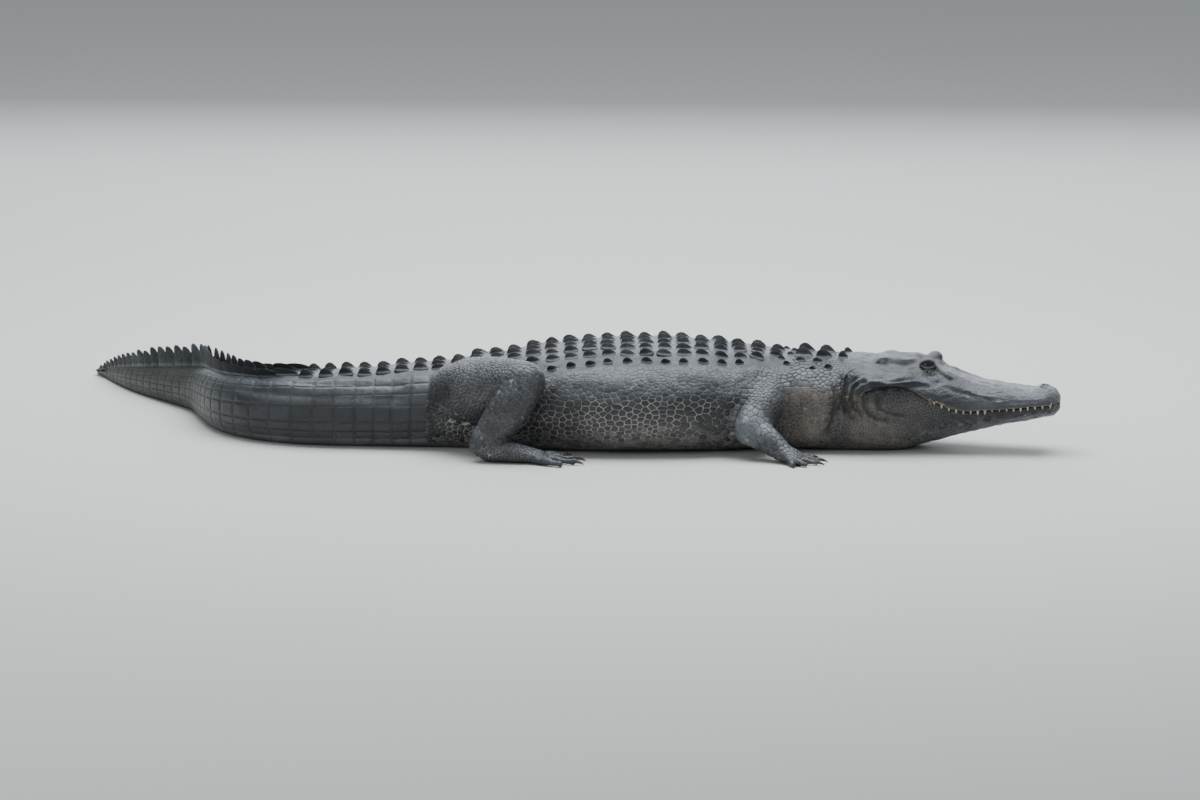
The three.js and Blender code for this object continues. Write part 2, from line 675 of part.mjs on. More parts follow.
// Girths of the legs at their joints
const GIRTH = {
  thigh: { hip: [112, 92], thigh: [92, 80], knee: [61, 57] },
  shank: { knee: [52, 54], shin: [46, 52], heel: [34, 37] },
  hindFoot: { heel: [36, 32], sole: [38, 26], ball: [36, 17] },
  upperArm: { shoulder: [70, 74], arm: [58, 60], elbow: [44, 46] },
  forearm: { elbow: [40, 40], middle: [36, 36], wrist: [28, 27] },
  frontFoot: { wrist: [28, 25], palm: [36, 18], ball: [32, 12] },
};
const HEEL_LOW = 32;

function stationsOf(girths, at) {
  return Object.entries(girths).map(([key, [wide, tall]]) => ({ at: at(key), wide, tall }));
}

function footOf(stations, toes, webs = []) {
  return joined([limb(stations), ...toes.map((t) => limb(t.stations, 0, TOE)), ...webs]);
}

function clawNodes(kind, name, toes) {
  return [0, 1, 2].map((i) => [`${kind}_claw_${name}_${i + 1}`, claw(toes[i], TOES[kind].claw)]);
}

// The nodes of one hind leg
function hindLeg(side) {
  const name = side > 0 ? "left" : "right";
  const at = (key) => joint(HIND[name][key], side);
  const onFloor = (key) => (key === "heel" ? at(key).setZ(HEEL_LOW) : at(key));
  const thigh = (grow) => limb(stationsOf(GIRTH.thigh, at), grow);
  const shank = (grow) => limb(stationsOf(GIRTH.shank, at), grow);
  const toes = toesOf("hind", side, at("toes"), side * rad(TOES.hind.aim));
  const webs = [0, 1, 2].map((i) => web(toes[i], toes[i + 1]));
  const sole = footOf(stationsOf(GIRTH.hindFoot, onFloor), toes, webs);
  return [
    [`thigh_${name}`, clearOfBody(thigh(0))],
    [`shank_${name}`, clearOfBody(shank(0).subtract(thigh(JOINT_GAP)))],
    [`hind_foot_${name}`, clearOfBody(sole.subtract(shank(JOINT_GAP)).subtract(thigh(JOINT_GAP)))],
    ...clawNodes("hind", name, toes),
  ];
}

// The nodes of one front leg
function frontLeg(side) {
  const name = side > 0 ? "left" : "right";
  const shift = side > 0 ? LEFT_ARM_SHIFT : 0;
  const joints = { ...FORE, middle: FORE.elbow.map((size, i) => mix(size, FORE.wrist[i], 0.5)) };
  const at = (key) => joint(joints[key], side, shift);
  const arm = (grow) => limb(stationsOf(GIRTH.upperArm, at), grow);
  const forearm = (grow) => limb(stationsOf(GIRTH.forearm, at), grow);
  const aim = turnAt(FORE.toes[0]) + side * rad(TOES.front.aim);
  const toes = toesOf("front", side, at("toes"), aim);
  const palm = footOf(stationsOf(GIRTH.frontFoot, at), toes);
  return [
    [`upper_arm_${name}`, clearOfBody(arm(0))],
    [`forearm_${name}`, clearOfBody(forearm(0).subtract(arm(JOINT_GAP)))],
    [`front_foot_${name}`, clearOfBody(palm.subtract(forearm(JOINT_GAP)).subtract(arm(JOINT_GAP)))],
    ...clawNodes("front", name, toes),
  ];
}

// Finishes
const FINISH = {
  hide: new THREE.MeshStandardMaterial({ color: 0x2c2d2f, roughness: 0.62, metalness: 0 }),
  jaw: new THREE.MeshStandardMaterial({ color: 0x3a3632, roughness: 0.66, metalness: 0 }),
  eye: new THREE.MeshStandardMaterial({ color: 0x2a1c12, roughness: 0.12, metalness: 0 }),
  claw: new THREE.MeshStandardMaterial({ color: 0x1d1b19, roughness: 0.4, metalness: 0 }),
};

function mesh(name, solid, finish) {
  const { vertProperties, triVerts, numProp } = largest(solid).getMesh();
  const positions = new Float32Array((vertProperties.length / numProp) * 3);
  for (let i = 0; i * numProp < vertProperties.length; i++)
    positions.set(vertProperties.subarray(i * numProp, i * numProp + 3), i * 3);
  const geometry = new THREE.BufferGeometry();
  geometry.setAttribute("position", new THREE.BufferAttribute(positions, 3));
  geometry.setIndex(new THREE.BufferAttribute(new Uint32Array(triVerts), 1));
  const made = new THREE.Mesh(geometry, finish);
  made.name = name;
  return made;
}

const alligator = new THREE.Group();

function bodyNode(name, from, to, rings, sides, plates) {
  const made = joined([bodyLength(from, to, rings, sides), ...plates]);
  alligator.add(mesh(name, between(made, from, to), FINISH.hide));
}

bodyNode("torso", JOINT_GAP, NECK_START - JOINT_GAP, BODY.torsoRings, BODY.sides, backPlates());
bodyNode("neck", NECK_START, NECK_END - JOINT_GAP, BODY.neckRings, BODY.sides, neckPlates());

const TAIL_RING_STEP = 62;
const crestDraw = draws(CREST_SEED);
TAIL_PARTS.forEach((name, i) => {
  const [front, rear] = [TAIL_CUTS[i], TAIL_CUTS[i + 1]];
  const rings = Math.round((front - rear) / TAIL_RING_STEP);
  const crests = WHORLS.filter((run) => run < front && run > rear).flatMap((run) => crest(run, crestDraw));
  bodyNode(name, rear + JOINT_GAP, front, rings, BODY.tailSides, crests);
});

alligator.add(mesh("head", head(), FINISH.hide));
alligator.add(mesh("lower_jaw", headHalf(jawPoint, JAW_ARC), FINISH.jaw));
for (const side of [-1, 1]) {
  const eyeball = ball(headPlace(EYE.back, side * EYE.left, EYE.up), EYE.radius);
  alligator.add(mesh(side > 0 ? "eye_left" : "eye_right", eyeball, FINISH.eye));
}

for (const side of [-1, 1])
  for (const [name, solid] of [...hindLeg(side), ...frontLeg(side)])
    alligator.add(mesh(name, solid, name.includes("claw") ? FINISH.claw : FINISH.hide));

export default alligator;
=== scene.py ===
"""A life-size American alligator lying on its belly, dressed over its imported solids.

The hide is one closed skin. Scutes, scales, eyes, teeth and claws are solid meshes of their own over it.
Sizes are millimetres until a mesh is made, and metres from then on. The body is told by "run", the
distance along the spine from the vent: positive towards the snout, negative down the tail. Head sizes
are told by "back", the distance behind the tip of the snout.
"""
import logging
import math
from collections.abc import Callable, Sequence
from dataclasses import dataclass, field
from enum import Enum

import bmesh
import bpy
import numpy as np
from mathutils import Matrix, Vector
from mathutils.bvhtree import BVHTree
from mathutils.kdtree import KDTree


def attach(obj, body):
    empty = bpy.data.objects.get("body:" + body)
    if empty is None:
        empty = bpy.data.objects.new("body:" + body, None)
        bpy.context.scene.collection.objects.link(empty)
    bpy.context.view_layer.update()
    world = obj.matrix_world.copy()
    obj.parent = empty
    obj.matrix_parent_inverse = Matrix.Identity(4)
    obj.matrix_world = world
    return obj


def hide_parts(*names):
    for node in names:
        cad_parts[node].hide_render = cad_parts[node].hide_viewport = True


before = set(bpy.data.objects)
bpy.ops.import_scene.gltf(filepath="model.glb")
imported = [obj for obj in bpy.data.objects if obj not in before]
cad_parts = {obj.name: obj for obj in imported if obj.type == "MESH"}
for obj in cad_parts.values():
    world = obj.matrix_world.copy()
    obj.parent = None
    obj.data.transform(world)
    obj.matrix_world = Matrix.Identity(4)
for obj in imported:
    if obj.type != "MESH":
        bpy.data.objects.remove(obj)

LOG = logging.getLogger("alligator")
MM = 0.001
BODY = "root"
UPRIGHT = np.array([0.0, 0.0, 1.0])
Array = np.ndarray
Colour = tuple[float, float, float]
Faces = list[tuple[int, ...]]
Links = dict[str | int, object]
Piece = bpy.types.Object
Socket = bpy.types.NodeSocket


class Side(Enum):
    """A side of the animal, as the sign of its way across the spine."""

    RIGHT = -1
    LEFT = 1

    @property
    def word(self) -> str:
        """The side's name as the nodes carry it."""
        return self.name.lower()


def ease(x: Array | float, start: float, end: float) -> Array:
    """Rise smoothly from 0 to 1.

    Args:
        x: Where to measure.
        start: Where the rise begins.
        end: Where the rise is whole.

    Returns:
        The share of the rise at x.
    """
    t = np.clip((np.asarray(x, float) - start) / (end - start), 0.0, 1.0)
    return t * t * (3 - 2 * t)


def bell(x: Array | float, centre: float, width: float) -> Array:
    """A smooth hump of height 1 at centre, falling away over width."""
    return np.exp(-(((np.asarray(x, float) - centre) / width) ** 2))


def signed(x: Array, power: Array | float) -> Array:
    """Raise the size of x to a power and keep its sign."""
    return np.sign(x) * np.abs(x) ** power


def mix(a: Array | float, b: Array | float, t: Array | float) -> Array:
    """Blend from a to b by t."""
    return a + (b - a) * t


def unit(vectors: Array) -> Array:
    """Scale vectors along the last axis to a length of 1."""
    return vectors / np.maximum(np.linalg.norm(vectors, axis=-1, keepdims=True), 1e-9)


def round_turn(count: int) -> Array:
    """Even angles round a full turn."""
    return np.linspace(0, 2 * math.pi, count, endpoint=False)


def sum_by(label: Array, vectors: Array, count: int) -> Array:
    """Add up the vectors that share a label, for labels from 0 to count."""
    return np.stack([np.bincount(label, vectors[:, k], count) for k in range(vectors.shape[1])], -1)


class Curve:
    """A smooth curve through (x, value) knots, level beyond its ends."""

    def __init__(self, *knots: tuple[float, float]) -> None:
        """Keep the knots and the slope at each.

        Args:
            knots: The pairs that the curve passes through, by rising x.
        """
        self.x, self.y = np.array(knots, float).T
        ahead = np.r_[1 : len(knots), len(knots) - 1]
        behind = np.r_[0, 0 : len(knots) - 1]
        self.slope = (self.y[ahead] - self.y[behind]) / (self.x[ahead] - self.x[behind])

    def __call__(self, x: Array | float) -> Array:
        """Read the curve at x."""
        x = np.clip(np.asarray(x, float), self.x[0], self.x[-1])
        i = np.clip(np.searchsorted(self.x, x) - 1, 0, len(self.x) - 2)
        wide = self.x[i + 1] - self.x[i]
        t = (x - self.x[i]) / wide
        rise = t * t * (3 - 2 * t)
        start = t * (1 - t) ** 2 * wide * self.slope[i]
        end = t * t * (t - 1) * wide * self.slope[i + 1]
        return self.y[i] + (self.y[i + 1] - self.y[i]) * rise + start + end


@dataclass(frozen=True)
class Ripple:
    """Smooth, seeded unevenness, as a sum of waves that run in all directions."""

    seed: int
    wavelength: float
    waves: int = 14

    def __call__(self, points: Array) -> Array:
        """Read the unevenness at points, about -1 to 1."""
        draw = np.random.default_rng(self.seed)
        ways = unit(draw.normal(size=(self.waves, points.shape[-1])))
        counts = 2 * math.pi / (self.wavelength * draw.uniform(0.6, 1.7, self.waves))
        phases = draw.uniform(0, 2 * math.pi, self.waves)
        waves = np.sin(points @ (ways * counts[:, None]).T + phases)
        return waves.sum(-1) / math.sqrt(self.waves)


@dataclass
class Spine:
    """The line that the body follows over the floor."""

    snout_run: float = 1758.0
    tail_length: float = 1650.0
    step: float = 5.0
    middle_x: float = 379.0
    middle_y: float = 345.3
    head_turn: float = 12.0
    tail_swing: float = 74.0
    tail_recover: float = 18.0
    tip_turn: float = 12.0
    runs: Array = field(init=False)
    path: Array = field(init=False)

    def __post_init__(self) -> None:
        """Trace the line from the vent both ways."""
        ways = {}
        for way, reach in ((1, self.snout_run), (-1, self.tail_length)):
            turns = self.turn(way * (np.arange(int(reach / self.step) + 2) + 0.5) * self.step)
            steps = way * self.step * np.stack([np.cos(turns), np.sin(turns)], -1)
            ways[way] = np.cumsum(steps, 0)
        self.path = np.vstack([ways[-1][::-1], np.zeros((1, 2)), ways[1]])
        self.runs = self.step * np.arange(-len(ways[-1]), len(ways[1]) + 1)

    def turn(self, run: Array | float) -> Array:
        """The way ahead at a run, in radians from straight ahead."""
        run = np.asarray(run, float)
        swing = self.tail_swing * ease(-run, 180, 760)
        recover = self.tail_recover * ease(-run, 860, 1020)
        tip = self.tip_turn * ease(-run, 1150, 1500)
        return np.radians(-self.head_turn * ease(run, 860, 1080) - swing + recover - tip)

    def ways(self, run: float) -> tuple[Array, Array]:
        """The level ways ahead and to the left at a run."""
        turn = float(self.turn(run))
        ahead = np.array([math.cos(turn), math.sin(turn), 0.0])
        return ahead, np.cross(UPRIGHT, ahead)

    def place(self, run: Array | float, left: Array | float, up: Array | float) -> Array:
        """Turn body sizes into points.

        Args:
            run: Distance along the spine.
            left: Distance to the animal's left of the spine.
            up: Height above the floor.

        Returns:
            Points in millimetres, with x, y and z along the last axis.
        """
        run, left, up = np.broadcast_arrays(*(np.asarray(v, float) for v in (run, left, up)))
        x = np.interp(run, self.runs, self.path[:, 0])
        y = np.interp(run, self.runs, self.path[:, 1])
        turn = self.turn(run)
        x = x - np.sin(turn) * left - self.middle_x
        y = y + np.cos(turn) * left - self.middle_y
        return np.stack([x, y, up], -1)

    def read(self, points: Array) -> tuple[Array, Array, Array]:
        """Turn points back into body sizes.

        Args:
            points: Points in millimetres.

        Returns:
            Run, left and up of each.
        """
        path = self.path - np.array([self.middle_x, self.middle_y])
        run, left = np.empty(len(points)), np.empty(len(points))
        for start in range(0, len(points), 4000):
            part = slice(start, start + 4000)
            flat = points[part, :2]
            coarse = np.argmin(((flat[:, None] - path[None, ::8]) ** 2).sum(-1), 1) * 8
            close = np.clip(coarse[:, None] + np.arange(-8, 9), 0, len(path) - 1)
            best = np.argmin(((flat[:, None] - path[close]) ** 2).sum(-1), 1)
            near = close[np.arange(len(flat)), best]
            turn = self.turn(self.runs[near])
            gap = flat - path[near]
            run[part] = self.runs[near] + gap[:, 0] * np.cos(turn) + gap[:, 1] * np.sin(turn)
            left[part] = gap[:, 1] * np.cos(turn) - gap[:, 0] * np.sin(turn)
        return run, left, points[:, 2]


@dataclass
class Trunk:
    """Cross-sections of the tail, torso and neck."""

    spine: Spine
    back_height: Curve = field(default_factory=lambda: Curve(
        (-1650, 9), (-1500, 40), (-1300, 74), (-1100, 103), (-900, 131), (-600, 168), (-390, 190),
        (-150, 207), (0, 220), (170, 243), (300, 264), (450, 279), (600, 284), (780, 277), (900, 265),
        (1000, 253), (1100, 250), (1178, 255)))
    half_width: Curve = field(default_factory=lambda: Curve(
        (-1650, 4), (-1500, 13), (-1300, 25), (-1100, 38), (-900, 53), (-600, 78), (-390, 101),
        (-150, 130), (0, 150), (170, 186), (300, 232), (450, 270), (600, 281), (780, 262), (900, 224),
        (1000, 184), (1090, 186), (1178, 170)))
    squareness: Curve = field(default_factory=lambda: Curve(
        (-1650, 2), (-1000, 2.1), (-800, 2.6), (-300, 2.8), (0, 2.6), (300, 2.5), (900, 2.4), (1178, 2.3)))
    flank_level: float = 0.42
    belly_sink: float = 0.12
    belly_power: float = 0.85

    def outline(self, run: Array, angle: Array) -> tuple[Array, Array]:
        """The body's outline: angle 0 is the left flank and a quarter turn is the back.

        Args:
            run: Distance along the spine.
            angle: Place round the outline, in radians.

        Returns:
            Distance to the left, and height.
        """
        top = self.back_height(run)
        level = self.level(run)
        power = 2 / self.squareness(run)
        left = self.half_width(run) * signed(np.cos(angle), power)
        over = level + (top - level) * np.abs(np.sin(angle)) ** power
        deep = level * (1 + self.belly_sink)
        under = np.maximum(0, level - deep * np.abs(np.sin(angle)) ** self.belly_power)
        return left, np.where(np.sin(angle) >= 0, over, under)

    def level(self, run: Array | float) -> Array:
        """Height of the flank's widest line."""
        return self.flank_level * self.back_height(run)

    def angle_at(self, run: float, up: float) -> float:
        """Angle at which the outline's upper half passes a height."""
        top = float(self.back_height(run))
        level = float(self.level(run))
        share = np.clip((up - level) / (top - level), 0, 1) ** (float(self.squareness(run)) / 2)
        return float(np.arcsin(share))


@dataclass
class Skull:
    """Cross-sections of the head, with its jaws shut."""

    spine: Spine
    trunk: Trunk
    length: float = 580.0
    blend_from: float = 505.0
    lip_half: Curve = field(default_factory=lambda: Curve(
        (0, 26), (6, 46), (16, 62), (35, 77), (65, 87), (100, 88), (135, 87), (175, 93), (215, 98),
        (260, 105), (310, 117), (358, 131), (400, 144), (450, 156), (500, 163), (545, 166), (580, 164)))
    mouth_level: Curve = field(default_factory=lambda: Curve(
        (0, 141), (56, 139), (100, 132), (139, 129), (200, 124), (252, 122), (279, 128), (307, 138),
        (348, 155), (371, 167), (398, 184), (433, 195), (480, 187), (522, 176), (580, 160)))
    crown_level: Curve = field(default_factory=lambda: Curve(
        (0, 160), (14, 174), (40, 178), (77, 176), (120, 181), (172, 188), (222, 194), (270, 206),
        (310, 220), (358, 234), (400, 240), (450, 243), (500, 250), (580, 255)))
    crown_square: Curve = field(default_factory=lambda: Curve(
        (0, 2.2), (60, 2.7), (200, 2.6), (300, 2.2), (360, 1.9), (430, 1.7), (510, 1.8), (580, 2.3)))
    chin_level: Curve = field(default_factory=lambda: Curve(
        (0, 118), (12, 104), (40, 97), (100, 85), (160, 72), (230, 54), (300, 34), (370, 14), (430, -6),
        (580, -14)))
    lip_inset: float = 12.0
    lip_gap: float = 3.0
    mouth_depth: float = 8.0
    jowl: float = 20.0
    table_half: float = 66.0
    table_rise: float = 15.0
    eye_back: float = 360.0
    eye_left: float = 58.0
    eye_up: float = 238.0
    eye_radius: float = 20.0
    nostril_back: float = 44.0
    nostril_left: float = 17.0

    def rise(self, back: Array, left: Array) -> Array:
        """What stands up from the plain dome: skull table, brows, snout ridges and nose."""
        across = np.abs(left)
        long = ease(back, 372, 408) * (1 - ease(back, 476, 524))
        table = self.table_rise * (1 - ease(across, self.table_half - 16, self.table_half + 12))
        table = table + 4 * bell(across, self.table_half - 8, 9) - 5 * bell(across, 0, 33)
        pits = -4 * bell(back, 440, 18) * bell(across, 30, 13)
        brow = 12 * bell(back, self.eye_back + 16, 34) * ease(across, 8, 40)
        brow = brow * (1 - ease(across, self.eye_left - 20, self.eye_left + 6))
        brow = brow + 9 * bell(back, self.eye_back, 30) * bell(across, self.eye_left - 6, 24)
        ridge = 8 * bell(back, 285, 48) * bell(across, 46, 13)
        nose = 5 * bell(back, self.nostril_back, 26) * bell(across, self.nostril_left, 20)
        gap = self.nostril_gap(back, across)
        nostril = 3.2 * bell(gap, 1.5, 0.5) - 8.5 * np.exp(-(gap**4))
        return long * table + pits + brow + ridge + nose + nostril

    def nostril_gap(self, back: Array, across: Array) -> Array:
        """How far places on the snout lie from a nostril: 1 is its rim."""
        turned = (across - self.nostril_left) + 0.5 * (back - self.nostril_back)
        return np.hypot((back - self.nostril_back) / 6.0, turned / 9.5)

    def run(self, back: Array | float) -> Array:
        """The run of a distance behind the snout's tip."""
        return self.spine.snout_run - back

    def ring(self, back: Array, over: int, under: int) -> Array:
        """Closed rings round the head: over the skull, into the mouth, round the jaw and out again.

        Args:
            back: Distances behind the snout's tip, one for each ring.
            over: Number of points from lip to lip over the skull.
            under: Number of points from lip to lip under the jaw.

        Returns:
            Left and up of each point, as an array of rings by points by 2.
        """
        back = back[:, None]
        share = np.linspace(0, 1, over)[None, :]
        angle = math.pi * share
        power = 2 / self.crown_square(back)
        lip = self.mouth_level(back)
        half = self.lip_half(back)
        left = half * signed(np.cos(angle), power)
        lift = np.abs(np.sin(angle)) ** power
        up = lip + (self.crown_level(back) - lip) * lift + self.rise(back, left) * ease(lift, 0.05, 0.5)
        skull = np.stack([left, up], -1)

        angle = math.pi * np.linspace(0, 1, under)[None, :]
        inset = np.minimum(self.lip_inset * (1 - ease(back, 470, 556)), 0.4 * half)
        low = lip - self.lip_gap
        jowl = self.jowl * bell(back, 480, 85) * 2 * np.sin(angle) * np.cos(angle)
        left = -(half - inset) * signed(np.cos(angle), 0.85) - jowl
        up = low - (low - self.chin_level(back)) * np.abs(np.sin(angle)) ** 0.85
        jaw = np.stack([left, up], -1)

        deep = self.mouth_depth * (1 - ease(back, 500, 565))
        grooves = []
        for start, end, way in ((skull[:, -1], jaw[:, 0], 1), (jaw[:, -1], skull[:, 0], -1)):
            a, b = (start, end) if way > 0 else (end, start)
            under_lip = mix(a, b, 0.3) + np.concatenate([way * (inset * 0.55), 0.4 + 0 * inset], -1)
            inside = mix(a, b, 0.7) + np.concatenate([way * (inset * 0.3 + deep), 1.2 + 0 * inset], -1)
            pair = [under_lip, inside] if way > 0 else [inside, under_lip]
            grooves.append(np.stack(pair, 1))
        rings = np.concatenate([skull, grooves[0], jaw, grooves[1]], 1)
        neck = np.stack(self.trunk.outline(self.run(np.array([[self.length]])), self.angles(over, under)), -1)
        rings = mix(rings, neck, ease(back, self.blend_from, self.length)[..., None])
        rings[..., 1] = np.maximum(rings[..., 1], 0)
        return rings

    def angles(self, over: int, under: int) -> Array:
        """Angles round the neck's outline at which the head's ring points meet it."""
        low = self.trunk.angle_at(self.run(self.length), float(self.mouth_level(self.length)))
        slot = 0.03
        upper = np.linspace(low, math.pi - low, over)
        lower = np.linspace(math.pi - low + slot, 2 * math.pi + low - slot, under)
        right = np.linspace(upper[-1], lower[0], 4)[1:-1]
        left = np.linspace(lower[-1], upper[0] + 2 * math.pi, 4)[1:-1]
        return np.concatenate([upper, right, lower, left])[None, :]


@dataclass(frozen=True)
class Fold:
    """A crease in the hide, drawn on the side view and worked into both flanks."""

    line: tuple[tuple[float, float], ...]
    depth: float
    width: float
    lips: float = 0.45

    def relief(self, run: Array, up: Array) -> Array:
        """Height that the fold adds to the hide.

        Args:
            run: Runs of the points.
            up: Heights of the points.

        Returns:
            The change of height along the hide's normal.
        """
        near = np.full(run.shape, 1e9)
        fade = np.zeros(run.shape)
        points = np.array(self.line, float)
        count = len(points) - 1
        for k in range(count):
            a, b = points[k], points[k + 1]
            along = b - a
            t = np.clip(((run - a[0]) * along[0] + (up - a[1]) * along[1]) / (along @ along), 0, 1)
            gap = np.hypot(run - a[0] - t * along[0], up - a[1] - t * along[1])
            share = (k + t) / count
            fade = np.where(gap < near, ease(share, -0.05, 0.2) * (1 - ease(share, 0.8, 1.05)), fade)
            near = np.minimum(near, gap)
        groove = -self.depth * np.exp(-((near / self.width) ** 2))
        lips = self.lips * self.depth * np.exp(-(((near - 2 * self.width) / self.width) ** 2))
        return (groove + lips) * fade


def ring_normals(rings: Array) -> Array:
    """Outward normals of rings of points, from the way along a ring and the way from ring to ring."""
    along = np.gradient(rings, axis=0)
    around = np.roll(rings, -1, 1) - np.roll(rings, 1, 1)
    return unit(np.cross(along, around))


def log_mesh(obj: Piece) -> None:
    """Report a finished piece and its number of triangles."""
    triangles = sum(len(p.vertices) - 2 for p in obj.data.polygons)
    LOG.info("%s: %d triangles", obj.name, triangles)


def mesh_object(name: str, points: Array, faces: Sequence[Sequence[int]]) -> Piece:
    """Make a mesh object from points in millimetres.

    Args:
        name: The object's name.
        points: The corners.
        faces: The corners' numbers, face by face, turned outwards.

    Returns:
        The new object, linked to the scene.
    """
    mesh = bpy.data.meshes.new(name)
    mesh.from_pydata((np.asarray(points) * MM).tolist(), [], [list(map(int, f)) for f in faces])
    mesh.validate()
    mesh.update()
    made = bpy.data.objects.new(name, mesh)
    bpy.context.scene.collection.objects.link(made)
    return made


def settle(obj: Piece) -> None:
    """Turn an object's modifiers into its plain mesh."""
    graph = bpy.context.evaluated_depsgraph_get()
    made = bpy.data.meshes.new_from_object(obj.evaluated_get(graph))
    obj.modifiers.clear()
    old = obj.data
    obj.data = made
    if not old.users:
        bpy.data.meshes.remove(old)


def read_all(items: bpy.types.bpy_prop_collection, key: str, width: int, kind: type = np.int32) -> Array:
    """Read one property of all items, as rows of the given width."""
    flat = np.empty(len(items) * width, kind)
    items.foreach_get(key, flat)
    return flat.reshape(-1, width)


def vertices_of(obj: Piece) -> Array:
    """An object's vertices in millimetres."""
    return read_all(obj.data.vertices, "co", 3, np.float64) / MM


def normals_of(obj: Piece) -> Array:
    """An object's vertex normals."""
    return read_all(obj.data.vertices, "normal", 3, np.float32).astype(float)


def set_vertices(obj: Piece, points: Array) -> None:
    """Move an object's vertices to points in millimetres."""
    obj.data.vertices.foreach_set("co", (points * MM).astype(np.float32).ravel())
    obj.data.update()


def tree_of(obj: Piece) -> BVHTree:
    """A tree of an object's faces, in millimetres, for finding the nearest hide."""
    points = vertices_of(obj)
    return BVHTree.FromPolygons(points.tolist(), [tuple(p.vertices) for p in obj.data.polygons])


def turn_outwards(obj: Piece) -> None:
    """Turn a closed mesh's faces outwards."""
    form = bmesh.new()
    form.from_mesh(obj.data)
    bmesh.ops.recalc_face_normals(form, faces=form.faces)
    form.to_mesh(obj.data)
    form.free()
    obj.data.update()


def shade_smooth(obj: Piece) -> None:
    """Shade all faces of an object smooth."""
    obj.data.polygons.foreach_set("use_smooth", [True] * len(obj.data.polygons))
    obj.data.update()


def band_faces(rings: int, sides: int, start: int = 0) -> Faces:
    """Faces between rings that follow one another, with their points numbered from start."""
    faces = []
    for r in range(rings - 1):
        for i in range(sides):
            a, b = start + r * sides + i, start + r * sides + (i + 1) % sides
            faces.append((a, b, b + sides, a + sides))
    return faces


def tube_faces(rings: int, sides: int) -> Faces:
    """Faces of a closed tube whose rings follow one another, with a flat cap at each end."""
    caps = [tuple(reversed(range(sides))), tuple(range((rings - 1) * sides, rings * sides))]
    return band_faces(rings, sides) + caps


def inside_out(faces: Faces) -> Faces:
    """Turn four-sided faces over, each from its first corner."""
    return [(a, d, c, b) for a, b, c, d in faces]


def patch_faces(rows: int, columns: int) -> tuple[Faces, list[int]]:
    """Faces of an open grid of points, and the way round its rim."""
    faces = [(r * columns + c, (r + 1) * columns + c, (r + 1) * columns + c + 1, r * columns + c + 1)
             for r in range(rows - 1) for c in range(columns - 1)]
    rim = [c for c in range(columns)] + [r * columns + columns - 1 for r in range(1, rows)]
    rim += [(rows - 1) * columns + c for c in range(columns - 2, -1, -1)]
    return faces, rim + [r * columns for r in range(rows - 2, 0, -1)]


def hoops(line: Array, across: Array, over: Array, wide: Array, tall: Array, sides: int) -> Array:
    """Lay rings of points round a line.

    Args:
        line: The rings' middles.
        across: The way across of each ring, or of all.
        over: The way over of each ring, or of all.
        wide: Their half widths.
        tall: Their half heights.
        sides: Number of points in a ring.

    Returns:
        The rings.
    """
    angle = round_turn(sides)[None, :, None]
    ring = line[:, None] + across * wide[:, None, None] * np.cos(angle)
    return ring + over * tall[:, None, None] * np.sin(angle)


def repeated_mesh(name: str, forms: Sequence[Array], faces: Faces) -> Piece:
    """Make one smooth piece of closed forms that share a layout of faces.

    Args:
        name: The piece's name.
        forms: Each form's points.
        faces: The faces of one form.

    Returns:
        The piece, with its faces turned outwards.
    """
    size = forms[0].size // 3
    every = [tuple(k * size + i for i in face) for k in range(len(forms)) for face in faces]
    made = mesh_object(name, np.vstack([form.reshape(-1, 3) for form in forms]), every)
    turn_outwards(made)
    shade_smooth(made)
    return made


@dataclass
class Limb:
    """A tube through stations, each of run, distance away, height, half width and half height."""

    stations: tuple[tuple[float, float, float, float, float], ...]
    sides: int = 28
    steps: int = 10
    rounding: tuple[float, ...] = (30.0, 60.0, 80.0)

    def line(self, spine: Spine, side: Side, share: Array) -> tuple[Array, Array, Array]:
        """The tube's middle line and its half sizes.

        Args:
            spine: The spine that the stations are measured from.
            side: The side of the body.
            share: Places along the tube, 0 to 1.

        Returns:
            Points, half widths and half heights.
        """
        s = np.array(self.stations)
        knots = np.linspace(0, 1, len(s))
        at = spine.place(s[:, 0], side.value * s[:, 1], s[:, 2])
        line = np.stack([Curve(*zip(knots, at[:, k]))(share) for k in range(3)], -1)
        return line, Curve(*zip(knots, s[:, 3]))(share), Curve(*zip(knots, s[:, 4]))(share)

    def frame(self, spine: Spine, side: Side, share: Array) -> tuple[Array, ...]:
        """The tube's line, half sizes and its ways ahead, across and over, for rising shares."""
        line, wide, tall = self.line(spine, side, share)
        ahead = unit(np.gradient(line, axis=0))
        across = unit(np.cross([0, 0, 1], ahead))
        return line, wide, tall, ahead, across, np.cross(ahead, across)

    def nearness(self, spine: Spine, side: Side, points: Array) -> Array:
        """How near points lie to the tube's line, in its own half sizes."""
        line, wide, tall = self.line(spine, side, np.linspace(0, 1, 24))
        gaps = np.linalg.norm(points[:, None] - line[None], axis=-1)
        return (gaps / (0.5 * (wide + tall))[None]).min(1)

    def rings(self, spine: Spine, side: Side) -> Array:
        """Rings of points along the tube, rounded off at its far end."""
        count = (len(self.stations) - 1) * self.steps
        share = np.linspace(0, 1, count + 1)
        line, wide, tall, ahead, across, over = self.frame(spine, side, share)
        ring = hoops(line, across[:, None], over[:, None], wide, tall, self.sides)
        ends = []
        for degrees in self.rounding:
            slim, reach = math.cos(math.radians(degrees)), math.sin(math.radians(degrees))
            ends.append(line[-1] + ahead[-1] * tall[-1] * reach + (ring[-1] - line[-1]) * slim)
        return np.concatenate([ring, np.array(ends)])


